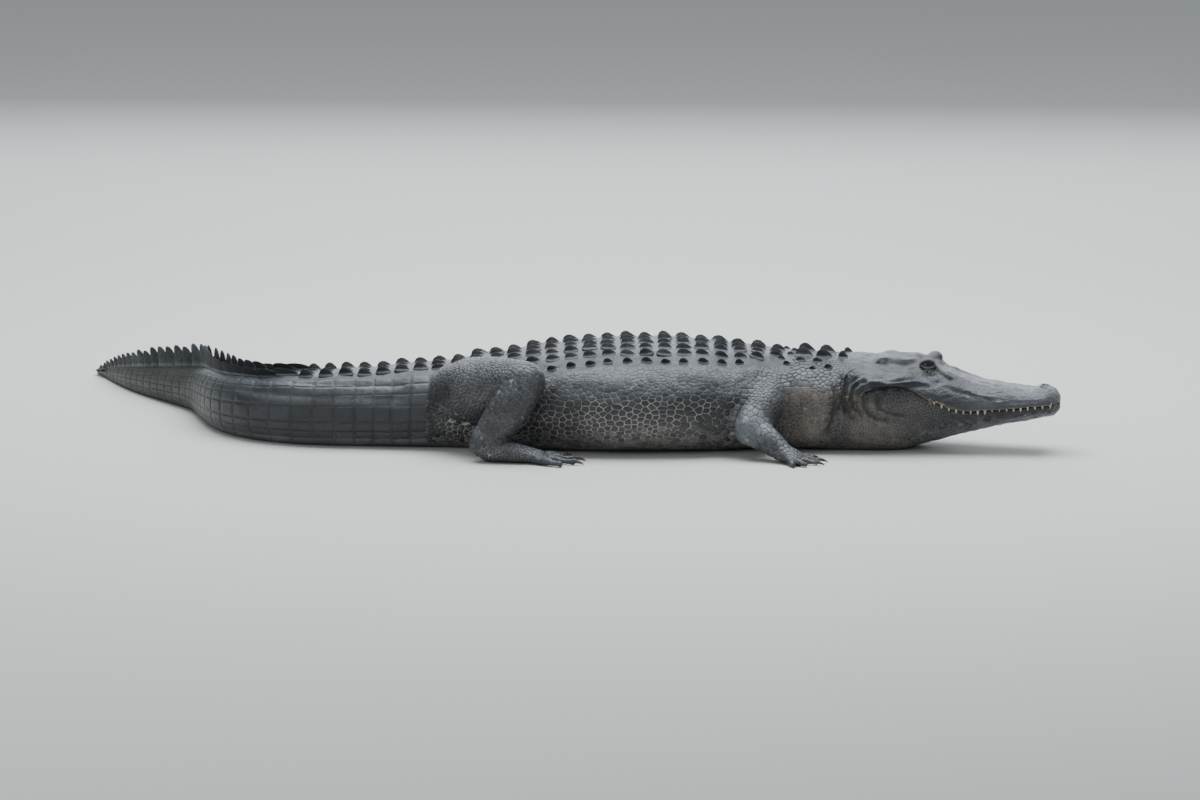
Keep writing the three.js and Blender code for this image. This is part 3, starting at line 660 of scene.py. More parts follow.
@dataclass(frozen=True)
class Toe:
    """One toe: where it starts, its way over the floor, its length and its girth."""

    start: Array
    way: Array
    length: float
    girth: float

    def line(self, reach: Array, up: Array) -> Array:
        """Points at distances along the toe and heights over the floor."""
        return self.start + self.way * reach[:, None] + np.outer(up, UPRIGHT)

    @property
    def across(self) -> Array:
        """The level way across the toe."""
        return np.cross(UPRIGHT, self.way)


@dataclass
class Foot:
    """Toes that fan out over the floor from the ball of a foot."""

    aim: float
    apart: float
    spreads: tuple[float, ...]
    lengths: tuple[float, ...]
    girth: float
    claw: float
    web: float
    clawed: int = 3
    inner: float = 1.1

    def toes(self, spine: Spine, side: Side, root: tuple[float, float]) -> list[Toe]:
        """Lay the toes out from their root.

        Args:
            spine: The spine that the root is measured from.
            side: The side of the body.
            root: Run and distance away of the middle of the toes' roots.

        Returns:
            The toes, from the inner one outwards.
        """
        run, away = root
        centre = spine.place(run, side.value * away, 0.0)
        heading = float(spine.turn(run)) + side.value * math.radians(self.aim)
        across = np.array([-math.sin(heading), math.cos(heading), 0.0])
        toes = []
        for i, (spread, length) in enumerate(zip(self.spreads, self.lengths)):
            aside = ((len(self.spreads) - 1) / 2 - i) * self.apart
            way = heading - side.value * math.radians(spread)
            start = centre - across * aside * side.value
            girth = self.girth * (self.inner if i == 0 else 1.0)
            toes.append(Toe(start, np.array([math.cos(way), math.sin(way), 0.0]), length, girth))
        return toes


HIND_TOES = Foot(6, 17, (28, 9, -9, -27), (92, 116, 118, 96), 13, 24, 0.62)
FORE_TOES = Foot(14, 15, (58, 27, 2, -24, -50), (50, 66, 70, 62, 46), 11, 19, 0.3)


@dataclass
class Leg:
    """One leg: two long tubes, a foot, its toes and the webs between them."""

    name: str
    side: Side
    upper: Limb
    lower: Limb
    base: Limb
    foot: Foot
    root: tuple[float, float]
    voxel: float = 5.2
    web_low: float = 3.0
    web_high: tuple[float, ...] = (12.0, 10.0, 7.5)

    def toe_rings(self, toe: Toe) -> Array:
        """Rings of one toe, with a knuckle swelling at each joint and a blunt end."""
        sides, count = 14, 16
        share = np.linspace(0, 1, count)
        girth = toe.girth * (1 - 0.36 * share + 0.09 * np.cos(share * 4 * math.pi))
        line = toe.line(share * toe.length, girth * 0.95 + 2 * (1 - share))
        return hoops(line, toe.across, UPRIGHT, girth, girth, sides)

    def web_rings(self, a: Toe, b: Toe) -> Array:
        """Rings of a thin web from one toe to the next, hollowed along its free edge."""
        rings = []
        for share in np.linspace(0, 1, 9):
            start = mix(a.start, b.start, share)
            way = unit(mix(a.way * a.length, b.way * b.length, share))
            reach = mix(a.length, b.length, share) * self.foot.web * (1 - 0.7 * share * (1 - share) * 2)
            flat = [start, start + way * reach * 0.5, start + way * reach]
            low = [at + self.web_low * UPRIGHT for at in flat]
            high = [at + up * UPRIGHT for at, up in zip(flat, self.web_high)]
            rings.append(low + high[::-1])
        return np.array(rings)

    def build(self, spine: Spine) -> Piece:
        """Join the leg's tubes, toes and webs into one closed, evenly meshed form.

        Args:
            spine: The spine that the leg is measured from.

        Returns:
            The leg's object.
        """
        parts = [limb.rings(spine, self.side) for limb in (self.upper, self.lower, self.base)]
        toes = self.foot.toes(spine, self.side, self.root)
        parts += [self.toe_rings(toe) for toe in toes]
        parts += [self.web_rings(a, b) for a, b in zip(toes, toes[1:])]
        points, faces, start = [], [], 0
        for part in parts:
            points.append(part.reshape(-1, 3))
            faces += [tuple(start + i for i in f) for f in tube_faces(part.shape[0], part.shape[1])]
            start += part.shape[0] * part.shape[1]
        made = mesh_object(f"{self.name}_{self.side.word}", np.vstack(points), faces)
        remesh = made.modifiers.new("even", "REMESH")
        remesh.mode = "VOXEL"
        remesh.voxel_size = self.voxel * MM
        smooth = made.modifiers.new("smooth", "SMOOTH")
        smooth.iterations = 5
        smooth.factor = 0.5
        settle(made)
        points = vertices_of(made)
        points[:, 2] = np.maximum(points[:, 2], 0)
        set_vertices(made, points)
        return made


def hind_leg(side: Side) -> Leg:
    """The hind leg of one side: the right knee stands high and the left one lies lower."""
    if side is Side.RIGHT:
        upper = ((85, 70, 140, 112, 96), (158, 180, 182, 98, 86), (261, 277, 213, 66, 61))
        lower = ((262, 281, 209, 60, 59), (224, 304, 146, 50, 57), (152, 312, 50, 36, 40))
        base = ((156, 311, 34, 37, 33), (225, 322, 27, 39, 27), (306, 330, 17, 37, 17))
        root = (292.0, 330.0)
    else:
        upper = ((95, 70, 128, 108, 88), (180, 195, 142, 92, 76), (290, 300, 148, 60, 55))
        lower = ((290, 300, 150, 52, 52), (252, 332, 104, 46, 50), (184, 352, 50, 34, 37))
        base = ((188, 352, 34, 37, 33), (256, 366, 27, 39, 27), (336, 376, 17, 37, 17))
        root = (322.0, 376.0)
    return Leg("hind_leg", side, Limb(upper), Limb(lower), Limb(base), HIND_TOES, root)


def front_leg(side: Side) -> Leg:
    """The front leg of one side: the left one is set a little further back."""
    shift = -26.0 if side is Side.LEFT else 0.0
    upper = ((965, 100, 158, 72, 76), (930, 190, 132, 60, 62), (890, 266, 82, 46, 48))
    lower = ((890, 266, 80, 42, 44), (960, 293, 56, 37, 37), (1030, 318, 30, 28, 27))
    base = ((1030, 318, 27, 28, 25), (1072, 330, 19, 36, 19), (1093, 334, 12, 33, 12))
    upper, lower, base = (
        tuple((s[0] + shift, *s[1:]) for s in stations) for stations in (upper, lower, base))
    root = (1077.0 + shift, 332.0)
    return Leg("front_leg", side, Limb(upper), Limb(lower), Limb(base), FORE_TOES, root, 4.6)


@dataclass
class Hide:
    """The one skin of the animal, from the snout's tip to the tail's, with the legs grown in."""

    spine: Spine
    trunk: Trunk
    skull: Skull
    over: int = 80
    under: int = 52
    folds: tuple[Fold, ...] = ()
    fold_strength: float = 1.35
    whorl: float = 52.0
    head_spacing: Curve = field(default_factory=lambda: Curve(
        (0, 2.2), (60, 2.8), (150, 4.0), (290, 3.4), (330, 2.4), (395, 2.4), (440, 3.4), (580, 4.2)))

    @property
    def around(self) -> int:
        """Number of points in a ring."""
        return self.over + self.under + 4

    def stations(self) -> Array:
        """Runs of the trunk's rings, from the tail's root to the neck's end."""
        neck_end = self.skull.run(self.skull.length)
        spans = ((-500, -100, 9.0), (-100, 0, 6.0), (0, 850, 8.0), (850, neck_end, 4.6))
        runs = [np.linspace(a, b, int(round((b - a) / gap)) + 1)[:-1] for a, b, gap in spans]
        return np.concatenate(runs)

    def head_stations(self) -> Array:
        """Distances behind the snout's tip of the head's rings, close together where it is detailed."""
        backs = [0.5]
        while backs[-1] < self.skull.length:
            backs.append(backs[-1] + float(self.head_spacing(backs[-1])))
        return np.array(backs) * self.skull.length / backs[-1]

    def trunk_rings(self, runs: Array, around: int) -> Array:
        """Rings of left and up round the trunk, with their points gathered to meet the head's."""
        even = round_turn(around)[None, :]
        if around == self.around:
            met = self.skull.angles(self.over, self.under)
            angles = mix(even, met, ease(runs, 820, 1178)[:, None])
        else:
            angles = np.repeat(even, len(runs), 0)
        return np.stack(self.trunk.outline(runs[:, None], angles), -1)

    def relief(self, run: Array, ring: Array, normal: Array) -> Array:
        """Height that folds, rolls and unevenness add to the hide.

        Args:
            run: Run of each ring.
            ring: Left and up of each point.
            normal: Outward normal of each point.

        Returns:
            The change of height of each point.
        """
        left, up = ring[..., 0], ring[..., 1]
        run = np.broadcast_to(run[:, None], left.shape)
        sideways = ease(1 - normal[..., 2] ** 2, 0.12, 0.6)
        made = np.zeros(left.shape)
        for fold in self.folds:
            made += self.fold_strength * fold.relief(run + 3 * np.sign(left), up) * sideways
        spread = np.stack([run, left * 1.3, up * 1.3], -1)
        head = ease(run, 1170, 1230)
        broad = Ripple(3, 120)(spread) * 2.2 * (1 - 0.6 * head)
        small = Ripple(5, 34)(spread) * 0.8
        rows = -1.2 * np.cos(2 * math.pi * (run / self.whorl - 0.05)) * ease(normal[..., 2], 0.3, 0.8)
        rows = rows * (1 - head) * ease(run, -60, 30)
        wrinkled = Ripple(9, 13)(spread * np.array([0.42, 1, 1])) * 0.55 * head
        ridges = 5.5 * (bell(up, 178, 8) + bell(up, 132, 9))
        ridges = ridges * ease(-run, 40, 110) * (1 - ease(-run, 380, 500))
        root = -0.9 * np.cos(2 * math.pi * run / 21) * ease(-run, -6, 12) * (1 - ease(-run, 70, 100))
        reach = np.hypot(run - 905, up - 70)
        arcs = -1.5 * np.cos(2 * math.pi * reach / 15) * ease(reach, 66, 84) * (1 - ease(reach, 128, 160))
        belly = ease(up, 3, 26)
        return (made + broad + small + rows + wrinkled + (ridges + root + arcs) * sideways) * belly

    def grid(self) -> Array:
        """The shaped rings of the tail's root, torso, neck and head, from the back to the front."""
        runs = self.stations()
        backs = self.head_stations()[::-1]
        head = self.skull.ring(backs, self.over, self.under)
        rings = np.concatenate([self.trunk_rings(runs, self.around), head])
        run = np.concatenate([runs, self.skull.run(backs)])
        points = self.spine.place(run[:, None], rings[..., 0], rings[..., 1])
        normal = ring_normals(points)
        points = points + normal * self.relief(run, rings, normal)[..., None]
        for side in Side:
            points = Lids(self.spine, self.skull, side).orbit(points)
        points[..., 2] = np.maximum(points[..., 2], 0)
        return points

    def tail_grid(self, start: float, end: float, gap: float, around: int) -> Array:
        """Rings of a length of tail, with the first one left out."""
        runs = np.linspace(start, end, int(round((start - end) / gap)) + 1)[1:]
        rings = self.trunk_rings(runs, around)
        return self.spine.place(runs[:, None], rings[..., 0], rings[..., 1])

    def body(self) -> Piece:
        """The closed body without its legs."""
        points = self.grid()[::-1]
        sections = [np.concatenate([self.snout_cap(points[0]), points])]
        sections.append(self.tail_grid(-500, -1100, 10, self.around // 2))
        sections.append(self.tail_grid(-1100, -1646, 12, self.around // 4))
        corners, faces, start = [], [], 0
        last = None
        for section in sections:
            rings, around = section.shape[:2]
            corners.append(section.reshape(-1, 3))
            if last is not None:
                faces += self.seam(last, start, around)
            faces += inside_out(band_faces(rings, around, start))
            last = start + (rings - 1) * around
            start += rings * around
        corners.append(self.spine.place([self.skull.run(-3), -self.spine.tail_length], [0, 0], [140, 5]))
        snout_tip, tail_tip = start, start + 1
        count = self.around
        faces += [(i, (i + 1) % count, snout_tip) for i in range(count)]
        count = sections[-1].shape[1]
        faces += [(last + (i + 1) % count, last + i, tail_tip) for i in range(count)]
        return mesh_object("hide", np.vstack(corners), faces)

    def snout_cap(self, ring: Array) -> Array:
        """Rings that round off the snout's tip, from the smallest to the largest."""
        middle = ring.mean(0)
        ahead, _ = self.spine.ways(self.spine.snout_run)
        shares = ((0.2, 3.0), (0.45, 2.8), (0.7, 2.2), (0.9, 1.0))
        return np.array([middle + (ring - middle) * share + ahead * push for share, push in shares])

    def seam(self, fine: int, coarse: int, around: int) -> Faces:
        """Faces from a ring to the next one, which has half as many points."""
        faces = []
        for i in range(around):
            a, b, c = (fine + (2 * i + k) % (2 * around) for k in range(3))
            p, q = coarse + i, coarse + (i + 1) % around
            faces += [(a, p, b), (b, p, q), (b, q, c)]
        return faces

    def build(self, legs: Sequence[Leg]) -> Piece:
        """Grow the legs and the lids into the body.

        Args:
            legs: The legs to grow in.

        Returns:
            The finished skin.
        """
        skin = self.body()
        for leg in legs:
            grow_in(skin, leg.build(self.spine), reach=26.0, rounds=24)
        for side in Side:
            grow_in(skin, Lids(self.spine, self.skull, side).build(), reach=4.0, rounds=6)
        skin.data.materials.clear()
        shade_smooth(skin)
        return skin


def neighbours(obj: Piece) -> tuple[Array, Array]:
    """The two ends of every edge, each way round."""
    ends = read_all(obj.data.edges, "vertices", 2)
    return np.concatenate([ends[:, 0], ends[:, 1]]), np.concatenate([ends[:, 1], ends[:, 0]])


def soften(obj: Piece, trees: tuple[BVHTree, BVHTree], reach: float, rounds: int) -> None:
    """Smooth a surface where two forms have been joined.

    Args:
        obj: The joined surface.
        trees: The two forms as they were.
        reach: How far from both forms the smoothing reaches.
        rounds: How often each point moves towards its neighbours.
    """
    points = vertices_of(obj)
    weight = np.zeros(len(points))
    for i, point in enumerate(points):
        at = Vector(point)
        hit = trees[1].find_nearest(at, reach)
        if hit[0] is None:
            continue
        other = trees[0].find_nearest(at, reach)
        if other[0] is None:
            continue
        weight[i] = 1 - max(hit[3], other[3]) / reach
    weight = np.clip(weight, 0, 1)[:, None] ** 0.7
    start, end = neighbours(obj)
    count = np.bincount(start, minlength=len(points))[:, None]
    for _ in range(rounds):
        total = sum_by(start, points[end], len(points))
        points = points + (total / np.maximum(count, 1) - points) * weight * 0.6
    points[:, 2] = np.maximum(points[:, 2], 0)
    set_vertices(obj, points)


def grow_in(skin: Piece, form: Piece, reach: float, rounds: int) -> None:
    """Join a form to the skin, and soften where they meet.

    Args:
        skin: The skin.
        form: The form, which is taken up.
        reach: How far from both the smoothing reaches.
        rounds: How often each point moves towards its neighbours.
    """
    trees = tree_of(skin), tree_of(form)
    union = skin.modifiers.new("grow", "BOOLEAN")
    union.operation = "UNION"
    union.solver = "MANIFOLD"
    union.object = form
    settle(skin)
    bpy.data.objects.remove(form)
    soften(skin, trees, reach, rounds)


@dataclass(frozen=True)
class Lids:
    """The lids of one eye: a thick rim round the opening, with a second fold over it."""

    spine: Spine
    skull: Skull
    side: Side
    open_half: float = 18.4
    open_up: float = 10.5
    open_down: float = 7.5
    lift: float = 16.0
    forward: float = 12.0
    cover: float = 2.5
    root: float = 18.0
    around: int = 72

    @property
    def centre(self) -> Array:
        """The middle of the eyeball."""
        skull = self.skull
        return self.spine.place(skull.run(skull.eye_back), self.side.value * skull.eye_left, skull.eye_up)

    def axes(self) -> tuple[Array, Array, Array]:
        """The eye's way out, way ahead and way up."""
        ahead, side = self.spine.ways(self.spine.snout_run)
        side = side * self.side.value
        lift, forward = math.radians(self.lift), math.radians(self.forward)
        out = unit(side * math.cos(lift) + UPRIGHT * math.sin(lift) + ahead * math.sin(forward))
        ahead = unit(ahead - out * (ahead @ out))
        up = np.cross(out, ahead) * self.side.value * -1
        return out, ahead, up if up[2] > 0 else -up

    def opening(self, x: Array, y: Array) -> Array:
        """How far a place before the eye lies out from the opening's middle: 1 is the lids' rim."""
        tall = np.where(y > 0, self.open_up, self.open_down)
        return np.sqrt((x / self.open_half) ** 2 + (y / tall) ** 2)

    def orbit(self, points: Array) -> Array:
        """Swell the hide out round the eyeball, and let it sink behind the opening.

        Args:
            points: The hide's points.

        Returns:
            The moved points.
        """
        out, ahead, up = self.axes()
        radius = self.skull.eye_radius
        dome = radius + self.cover
        push = self.root * unit(0.57 * out + 0.81 * up)
        away = points - self.centre + push
        far = np.linalg.norm(away, axis=-1)
        way = away / np.maximum(far, 1e-6)[..., None]
        along = way @ push
        target = along + np.sqrt(np.maximum(along**2 - self.root**2 + dome**2, 0))
        gap, soft = target - far, 11.0
        lift = np.where(gap > -soft, (gap + soft) ** 2 / (4 * soft) * (gap < soft) + gap * (gap >= soft), 0)
        moved = away + way * lift[..., None] - push
        x, y, z = moved @ ahead, moved @ up, moved @ out
        inside = (self.opening(x, y) < 1.1) & (z > 0)
        sunk = np.minimum(z, np.sqrt(np.maximum((radius - 4) ** 2 - x**2 - y**2, 0)))
        moved = moved + out * (np.where(inside, sunk, z) - z)[..., None]
        near = np.linalg.norm(points - self.centre, axis=-1) < 2.2 * dome
        return np.where(near[..., None], self.centre + moved, points)

    def build(self) -> Piece:
        """Sweep the lids' rim round the opening, as a closed ring."""
        out, ahead, up = self.axes()
        angle = round_turn(self.around)
        radius = self.skull.eye_radius
        top = 0.5 + 0.5 * np.sin(angle)
        tall = np.where(np.sin(angle) > 0, self.open_up, self.open_down)
        x = self.open_half * np.cos(angle)
        y = tall * np.sin(angle) * (0.72 + 0.28 * np.abs(np.sin(angle)))
        profile = (
            (-0.3, -5.0, 0.0), (-0.2, 0.4, 0.2), (0.5, 1.8, 0.8), (2.2, 2.9, 1.2), (4.4, 2.9, 0.6),
            (5.8, 1.6, -0.4), (7.4, 2.4, 0.7), (10.0, 2.9, 1.0), (12.4, 1.4, 0.2), (14.6, 0.6, 0.2),
            (17.0, -2.2, 0.2), (17.0, -7.0, 0.0), (8.0, -8.0, 0.0),
        )
        rings = []
        for gap, rise, more in profile:
            grow = 1 + gap * (0.6 + 0.4 * top) / np.hypot(x, y)
            gx, gy = x * grow, y * grow
            bend = np.minimum(np.hypot(gx, gy) / radius, 2.6)
            way = np.arctan2(gy, gx)
            reach = np.sin(np.minimum(bend, 1.45))
            direction = (np.outer(np.cos(np.minimum(bend, 1.45)), out)
                         + np.outer(reach * np.cos(way), ahead) + np.outer(reach * np.sin(way), up))
            rings.append(self.centre + direction * (radius + rise + more * top)[:, None])
        rings = np.array(rings)
        count, sides = rings.shape[:2]
        faces = [tuple(i % (count * sides) for i in face) for face in band_faces(count + 1, sides)]
        made = mesh_object("lids", rings.reshape(-1, 3), faces)
        turn_outwards(made)
        return made


@dataclass(frozen=True)
class Probe:
    """Finds places on the finished skin."""

    spine: Spine
    trunk: Trunk
    tree: BVHTree

    def back(self, run: float, left: float, upright: float = 0.0) -> tuple[Array, Array, Array]:
        """A place on the back.

        Args:
            run: Distance along the spine.
            left: Distance to the left of it.
            upright: How far the way out is turned to the vertical, 0 to 1.

        Returns:
            The point, the way ahead along the skin, and the way out of it.
        """
        at = self.spine.place(run, left, 420.0)
        hit, normal, _, _ = self.tree.ray_cast(Vector(at), Vector((0, 0, -1)))
        out = unit(mix(np.array(normal), UPRIGHT, upright))
        ahead, _ = self.spine.ways(run)
        return np.array(hit), unit(ahead - out * (ahead @ out)), out


@dataclass
class Stand:
    """Where each scale of one kind stands, which way it faces and its size."""

    at: list[Array] = field(default_factory=list)
    turn: list[Array] = field(default_factory=list)
    size: list[tuple[float, float, float]] = field(default_factory=list)

    def add(self, frame_at: tuple[Array, Array, Array], length: float, width: float, rise: float) -> None:
        """Stand one scale on the skin.

        Args:
            frame_at: The point, the way ahead and the way out.
            length: Its size ahead.
            width: Its size across.
            rise: Its height.
        """
        at, ahead, out = frame_at
        side = np.cross(out, ahead)
        turn = Matrix((ahead, side, out)).transposed().to_euler()
        self.at.append(at)
        self.turn.append(np.array(turn))
        self.size.append((length, width, rise))


@dataclass(frozen=True)
class Plate:
    """A keeled scute of unit size: a rounded square whose keel rises to a peak behind its middle."""

    name: str
    ahead: tuple[float, ...] = (-1.0, -0.9, -0.66, -0.3, 0.1, 0.5, 0.88, 1.0)
    across: tuple[float, ...] = (-1.0, -0.9, -0.5, -0.27, -0.1, 0.1, 0.27, 0.5, 0.9, 1.0)
    keel: tuple[float, ...] = (0.0, 0.03, 0.7, 1.0, 0.93, 0.5, 0.0, 0.0)
    flank: tuple[float, ...] = (0.0, 0.0, 0.1, 0.42, 1.0, 1.0, 0.42, 0.1, 0.0, 0.0)
    dome: float = 0.14
    sunk: float = 0.35

    def build(self) -> Piece:
        """Make the scute's mesh, with its height kept as the attribute crown."""
        u, v = np.meshgrid(self.ahead, self.across, indexing="ij")
        x = 0.5 * u * np.sqrt(1 - 0.34 * v**2)
        y = 0.5 * v * np.sqrt(1 - 0.34 * u**2)
        height = np.outer(self.keel, self.flank) * (1 - self.dome) + self.dome * (1 - u**4) * (1 - v**4)
        rim = (np.abs(u) > 0.99) | (np.abs(v) > 0.99)
        z = np.where(rim, -self.sunk, height)
        return unit_mesh(self.name, np.stack([x, y, z], -1))


@dataclass(frozen=True)
class Blade:
    """An upright blade of the tail's crest, of unit size: a fin that leans back to a worn tip."""

    name: str
    heights: tuple[float, ...] = (-0.3, 0.0, 0.22, 0.45, 0.68, 0.87, 1.0)
    front: tuple[float, ...] = (0.62, 0.6, 0.54, 0.44, 0.28, 0.06, -0.22)
    rear: tuple[float, ...] = (-0.5, -0.5, -0.52, -0.55, -0.58, -0.6, -0.52)
    thick: tuple[float, ...] = (0.5, 0.48, 0.4, 0.34, 0.28, 0.2, 0.08)
    sides: int = 10

    def build(self) -> Piece:
        """Make the blade's mesh, with its height kept as the attribute crown."""
        angle = round_turn(self.sides)
        points = []
        for height, front, rear, thick in zip(self.heights, self.front, self.rear, self.thick):
            x = mix(rear, front, 0.5 + 0.5 * np.cos(angle))
            y = thick * np.sin(angle) * (1 - 0.35 * np.cos(angle))
            points.append(np.stack([x, y, np.full(self.sides, height)], -1))
        rings = np.array(points)
        return unit_mesh(self.name, rings, tube_faces(len(rings), self.sides))


def unit_mesh(name: str, points: Array, faces: Faces | None = None) -> Piece:
    """Make a template, in metres, for Geometry Nodes to repeat.

    Args:
        name: The template's name.
        points: A grid of points, whose edge is closed by one face where no faces are given.
        faces: The faces, where the points aren't an open grid.

    Returns:
        The template, with its height over 0 kept as the attribute crown.
    """
    if faces is None:
        faces, rim = patch_faces(*points.shape[:2])
        faces.append(tuple(rim))
    flat = points.reshape(-1, 3)
    made = mesh_object(name, flat, faces)
    turn_outwards(made)
    add_values(made, "crown", np.clip(flat[:, 2], 0, 1))
    return made


def add_values(obj: Piece, name: str, values: Array) -> None:
    """Keep one number, or one vector, for each vertex as an attribute."""
    kind = "FLOAT" if values.ndim == 1 else "FLOAT_VECTOR"
    made = obj.data.attributes.new(name, kind, "POINT")
    made.data.foreach_set("value" if values.ndim == 1 else "vector", values.astype(np.float32).ravel())


def add_map(obj: Piece, name: str, places: Array) -> None:
    """Keep two coordinates for each vertex as a UV map."""
    layer = obj.data.uv_layers.new(name=name)
    corners = read_all(obj.data.loops, "vertex_index", 1)[:, 0]
    layer.data.foreach_set("uv", places[corners].astype(np.float32).ravel())


class Graph:
    """Adds nodes to a node tree."""

    def __init__(self, tree: bpy.types.NodeTree) -> None:
        """Keep the tree."""
        self.tree = tree

    def add(self, kind: str, links: Links | None = None, **settings: object) -> bpy.types.Node:
        """Add a node, with its inputs set or linked.

        Args:
            kind: The node's type.
            links: For each input either a socket to link or a plain value.
            settings: The node's own settings.

        Returns:
            The node.
        """
        node = self.tree.nodes.new(kind)
        for key, value in settings.items():
            setattr(node, key, value)
        self.feed(node, links or {})
        return node

    def feed(self, node: bpy.types.Node, links: Links) -> None:
        """Set a node's inputs to plain values, or link them to sockets."""
        for key, value in links.items():
            if isinstance(value, Socket):
                self.tree.links.new(value, node.inputs[key])
            else:
                node.inputs[key].default_value = value

    def sockets(self, way: str, named: dict[str, str]) -> None:
        """Give the tree its inputs or outputs, each with a name and a kind."""
        for title, kind in named.items():
            self.tree.interface.new_socket(title, in_out=way, socket_type=f"NodeSocket{kind}")


class Tree(Graph):
    """A Geometry Nodes tree with named inputs, ending in Realize Instances and Set Material."""

    def __init__(self, name: str, inputs: dict[str, str]) -> None:
        """Start the tree.

        Args:
            name: The tree's name.
            inputs: Each input's name and its socket type.
        """
        super().__init__(bpy.data.node_groups.new(name, "GeometryNodeTree"))
        self.sockets("INPUT", {"Geometry": "Geometry", **inputs, "Finish": "Material"})
        self.sockets("OUTPUT", {"Geometry": "Geometry"})
        self.start = self.add("NodeGroupInput")

    def attribute(self, name: str, kind: str = "FLOAT") -> Socket:
        """Read an attribute of the geometry."""
        node = self.add("GeometryNodeInputNamedAttribute", {"Name": name}, data_type=kind)
        return node.outputs["Attribute"]

    def finish(self, geometry: Socket) -> None:
        """Realize the instances, set the material and end the tree."""
        real = self.add("GeometryNodeRealizeInstances", {"Geometry": geometry})
        smooth = self.add("GeometryNodeSetShadeSmooth", {"Geometry": real.outputs[0]})
        painted = self.add("GeometryNodeSetMaterial", {
            "Geometry": smooth.outputs[0], "Material": self.start.outputs["Finish"]})
        self.add("NodeGroupOutput", {"Geometry": painted.outputs[0]})

    def apply(self, obj: Piece, values: dict[str, object]) -> None:
        """Run the tree on an object and keep the result as its plain mesh.

        Args:
            obj: The object.
            values: The value of each named input.
        """
        made = obj.modifiers.new("grow", "NODES")
        made.node_group = self.tree
        for item in self.tree.interface.items_tree:
            if item.in_out == "INPUT" and item.name in values:
                made[item.identifier] = values[item.name]
        settle(obj)


def standing_tree() -> Tree:
    """The tree that stands a template on each point, turned and sized by the point's attributes."""
    tree = Tree("standing_scales", {"Template": "Object", "Size": "Float"})
    points = tree.add("GeometryNodeMeshToPoints", {"Mesh": tree.start.outputs["Geometry"]})
    turn, size = (tree.attribute(name, "FLOAT_VECTOR") for name in ("turn", "size"))
    spin = tree.add("FunctionNodeEulerToRotation", {"Euler": turn})
    template = tree.add("GeometryNodeObjectInfo", {"Object": tree.start.outputs["Template"]})
    copies = tree.add("GeometryNodeInstanceOnPoints", {
        "Points": points.outputs[0],
        "Instance": template.outputs["Geometry"],
        "Rotation": spin.outputs[0],
        "Scale": scaled(tree, size, tree.start.outputs["Size"]),
    })
    tree.finish(copies.outputs[0])
    return tree


def stand_scales(name: str, tree: Tree, stand: Stand, template: Piece,
                 finish: bpy.types.Material) -> Piece:
    """Stand copies of a template on the skin.

    Args:
        name: The piece's name.
        tree: The tree that stands them.
        stand: Their places.
        template: The scale to repeat, of unit size.
        finish: Their material.

    Returns:
        The piece, as one plain mesh.
    """
    made = mesh_object(name, np.array(stand.at), [])
    add_values(made, "turn", np.array(stand.turn))
    add_values(made, "size", np.array(stand.size))
    tree.apply(made, {"Template": template, "Size": 1.0, "Finish": finish})
    return made


